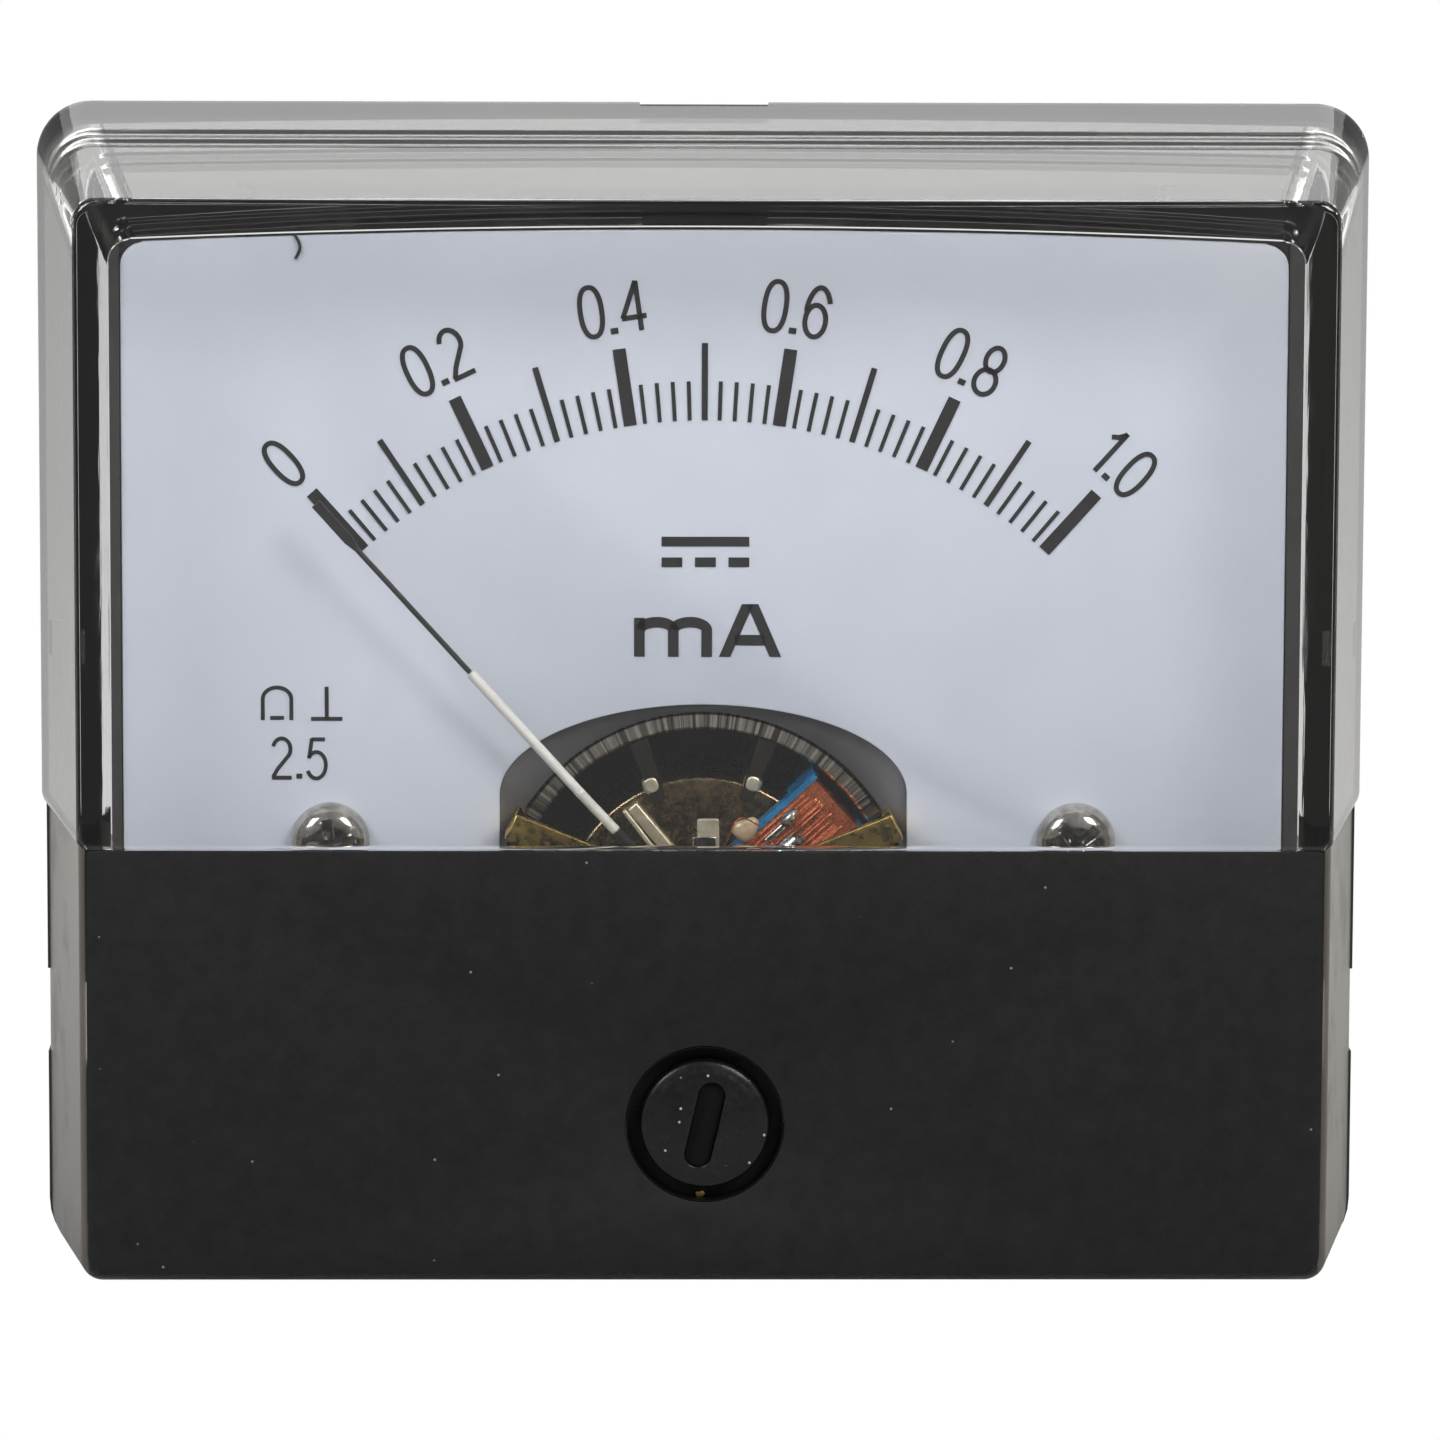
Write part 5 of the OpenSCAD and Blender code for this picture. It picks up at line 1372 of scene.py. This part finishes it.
soft_box("box_right", (420, -560, 520), (240, 300), 3.5, "#fffaf2")
soft_box("box_left", (-480, -480, 460), (240, 300), 2.3, "#fbfcff")
soft_box("box_top", (0, 500, 1100), (1800, 1800), 6.6)
soft_box("strip_back", (0, 893, 818), (1500, 297), 1.6)

# %% [markdown]
# What the camera sees directly is plain white; what lights the meter is a dim white.

# %% Room
WHITE, ROOM_LIGHT = (1.0, 1.0, 1.0, 1.0), 0.24
room = bpy.data.worlds.new("white_room")
room.use_nodes = True
room.node_tree.nodes.clear()
room_mix = add(room, "MixShader", {
    0: add(room, "LightPath").outputs["Is Camera Ray"],
    1: add(room, "Background", {"Color": WHITE, "Strength": ROOM_LIGHT}),
    2: add(room, "Background", {"Color": WHITE, "Strength": 1.0}),
})
add(room, "OutputWorld", {"Surface": room_mix})
bpy.context.scene.world = room
bpy.context.scene.view_settings.view_transform = "Standard"

# %% [markdown]
# The paper is mirrored in the cover's foot and lower walls, so painted shade is graded into its
# colour for all but the camera: grey in front, standing for the dim camera side of the room, and
# paler behind, with a faint grain.

# %% Floor
PAINTED_SHADE_FROM, PAINTED_SHADE_TO, GRAIN = -0.12, 0.04, 0.04
paper, paper_place = blank("paper_white_painted_shade")
mottle = add(paper, "TexNoise", {"Vector": paper_place, "Scale": 30.0})
along_y = add(paper, "SeparateXYZ", {"Vector": paper_place}).outputs["Y"]
# painted shade: for lamps and reflections the floor is grey in front of the meter and pale behind;
# the camera sees it plain white
fade = add(paper, "MapRange", {"Value": along_y, "From Min": PAINTED_SHADE_FROM, "From Max": PAINTED_SHADE_TO})
grain = add(paper, "Math", {0: mottle, 1: GRAIN}, operation="MULTIPLY")
share = add(paper, "Math", {
    0: fade, 1: grain,
}, operation="SUBTRACT", use_clamp=True)
grey = add(paper, "Mix", {
    "Factor": share, MIX_A: linear("#8a8a8a"), MIX_B: linear("#e6e6e5"),
}, data_type="RGBA")
matt = add(paper, "BsdfDiffuse", {"Color": grey.outputs[MIX_OUT]})
shown = add(paper, "MixShader", {
    0: add(paper, "LightPath").outputs["Is Camera Ray"], 1: matt,
    2: add(paper, "Emission", {"Color": WHITE, "Strength": 1.0}),
})
add(paper, "OutputMaterial", {"Surface": shown})
FLOOR_REACH = 6000.0
floor_z = cover_low[2] - 0.02
floor = piece("floor", [
    (x * FLOOR_REACH, y * FLOOR_REACH, floor_z) for x, y in ((-1, -1), (1, -1), (1, 1), (-1, 1))
], [(0, 1, 2, 3)], paper)
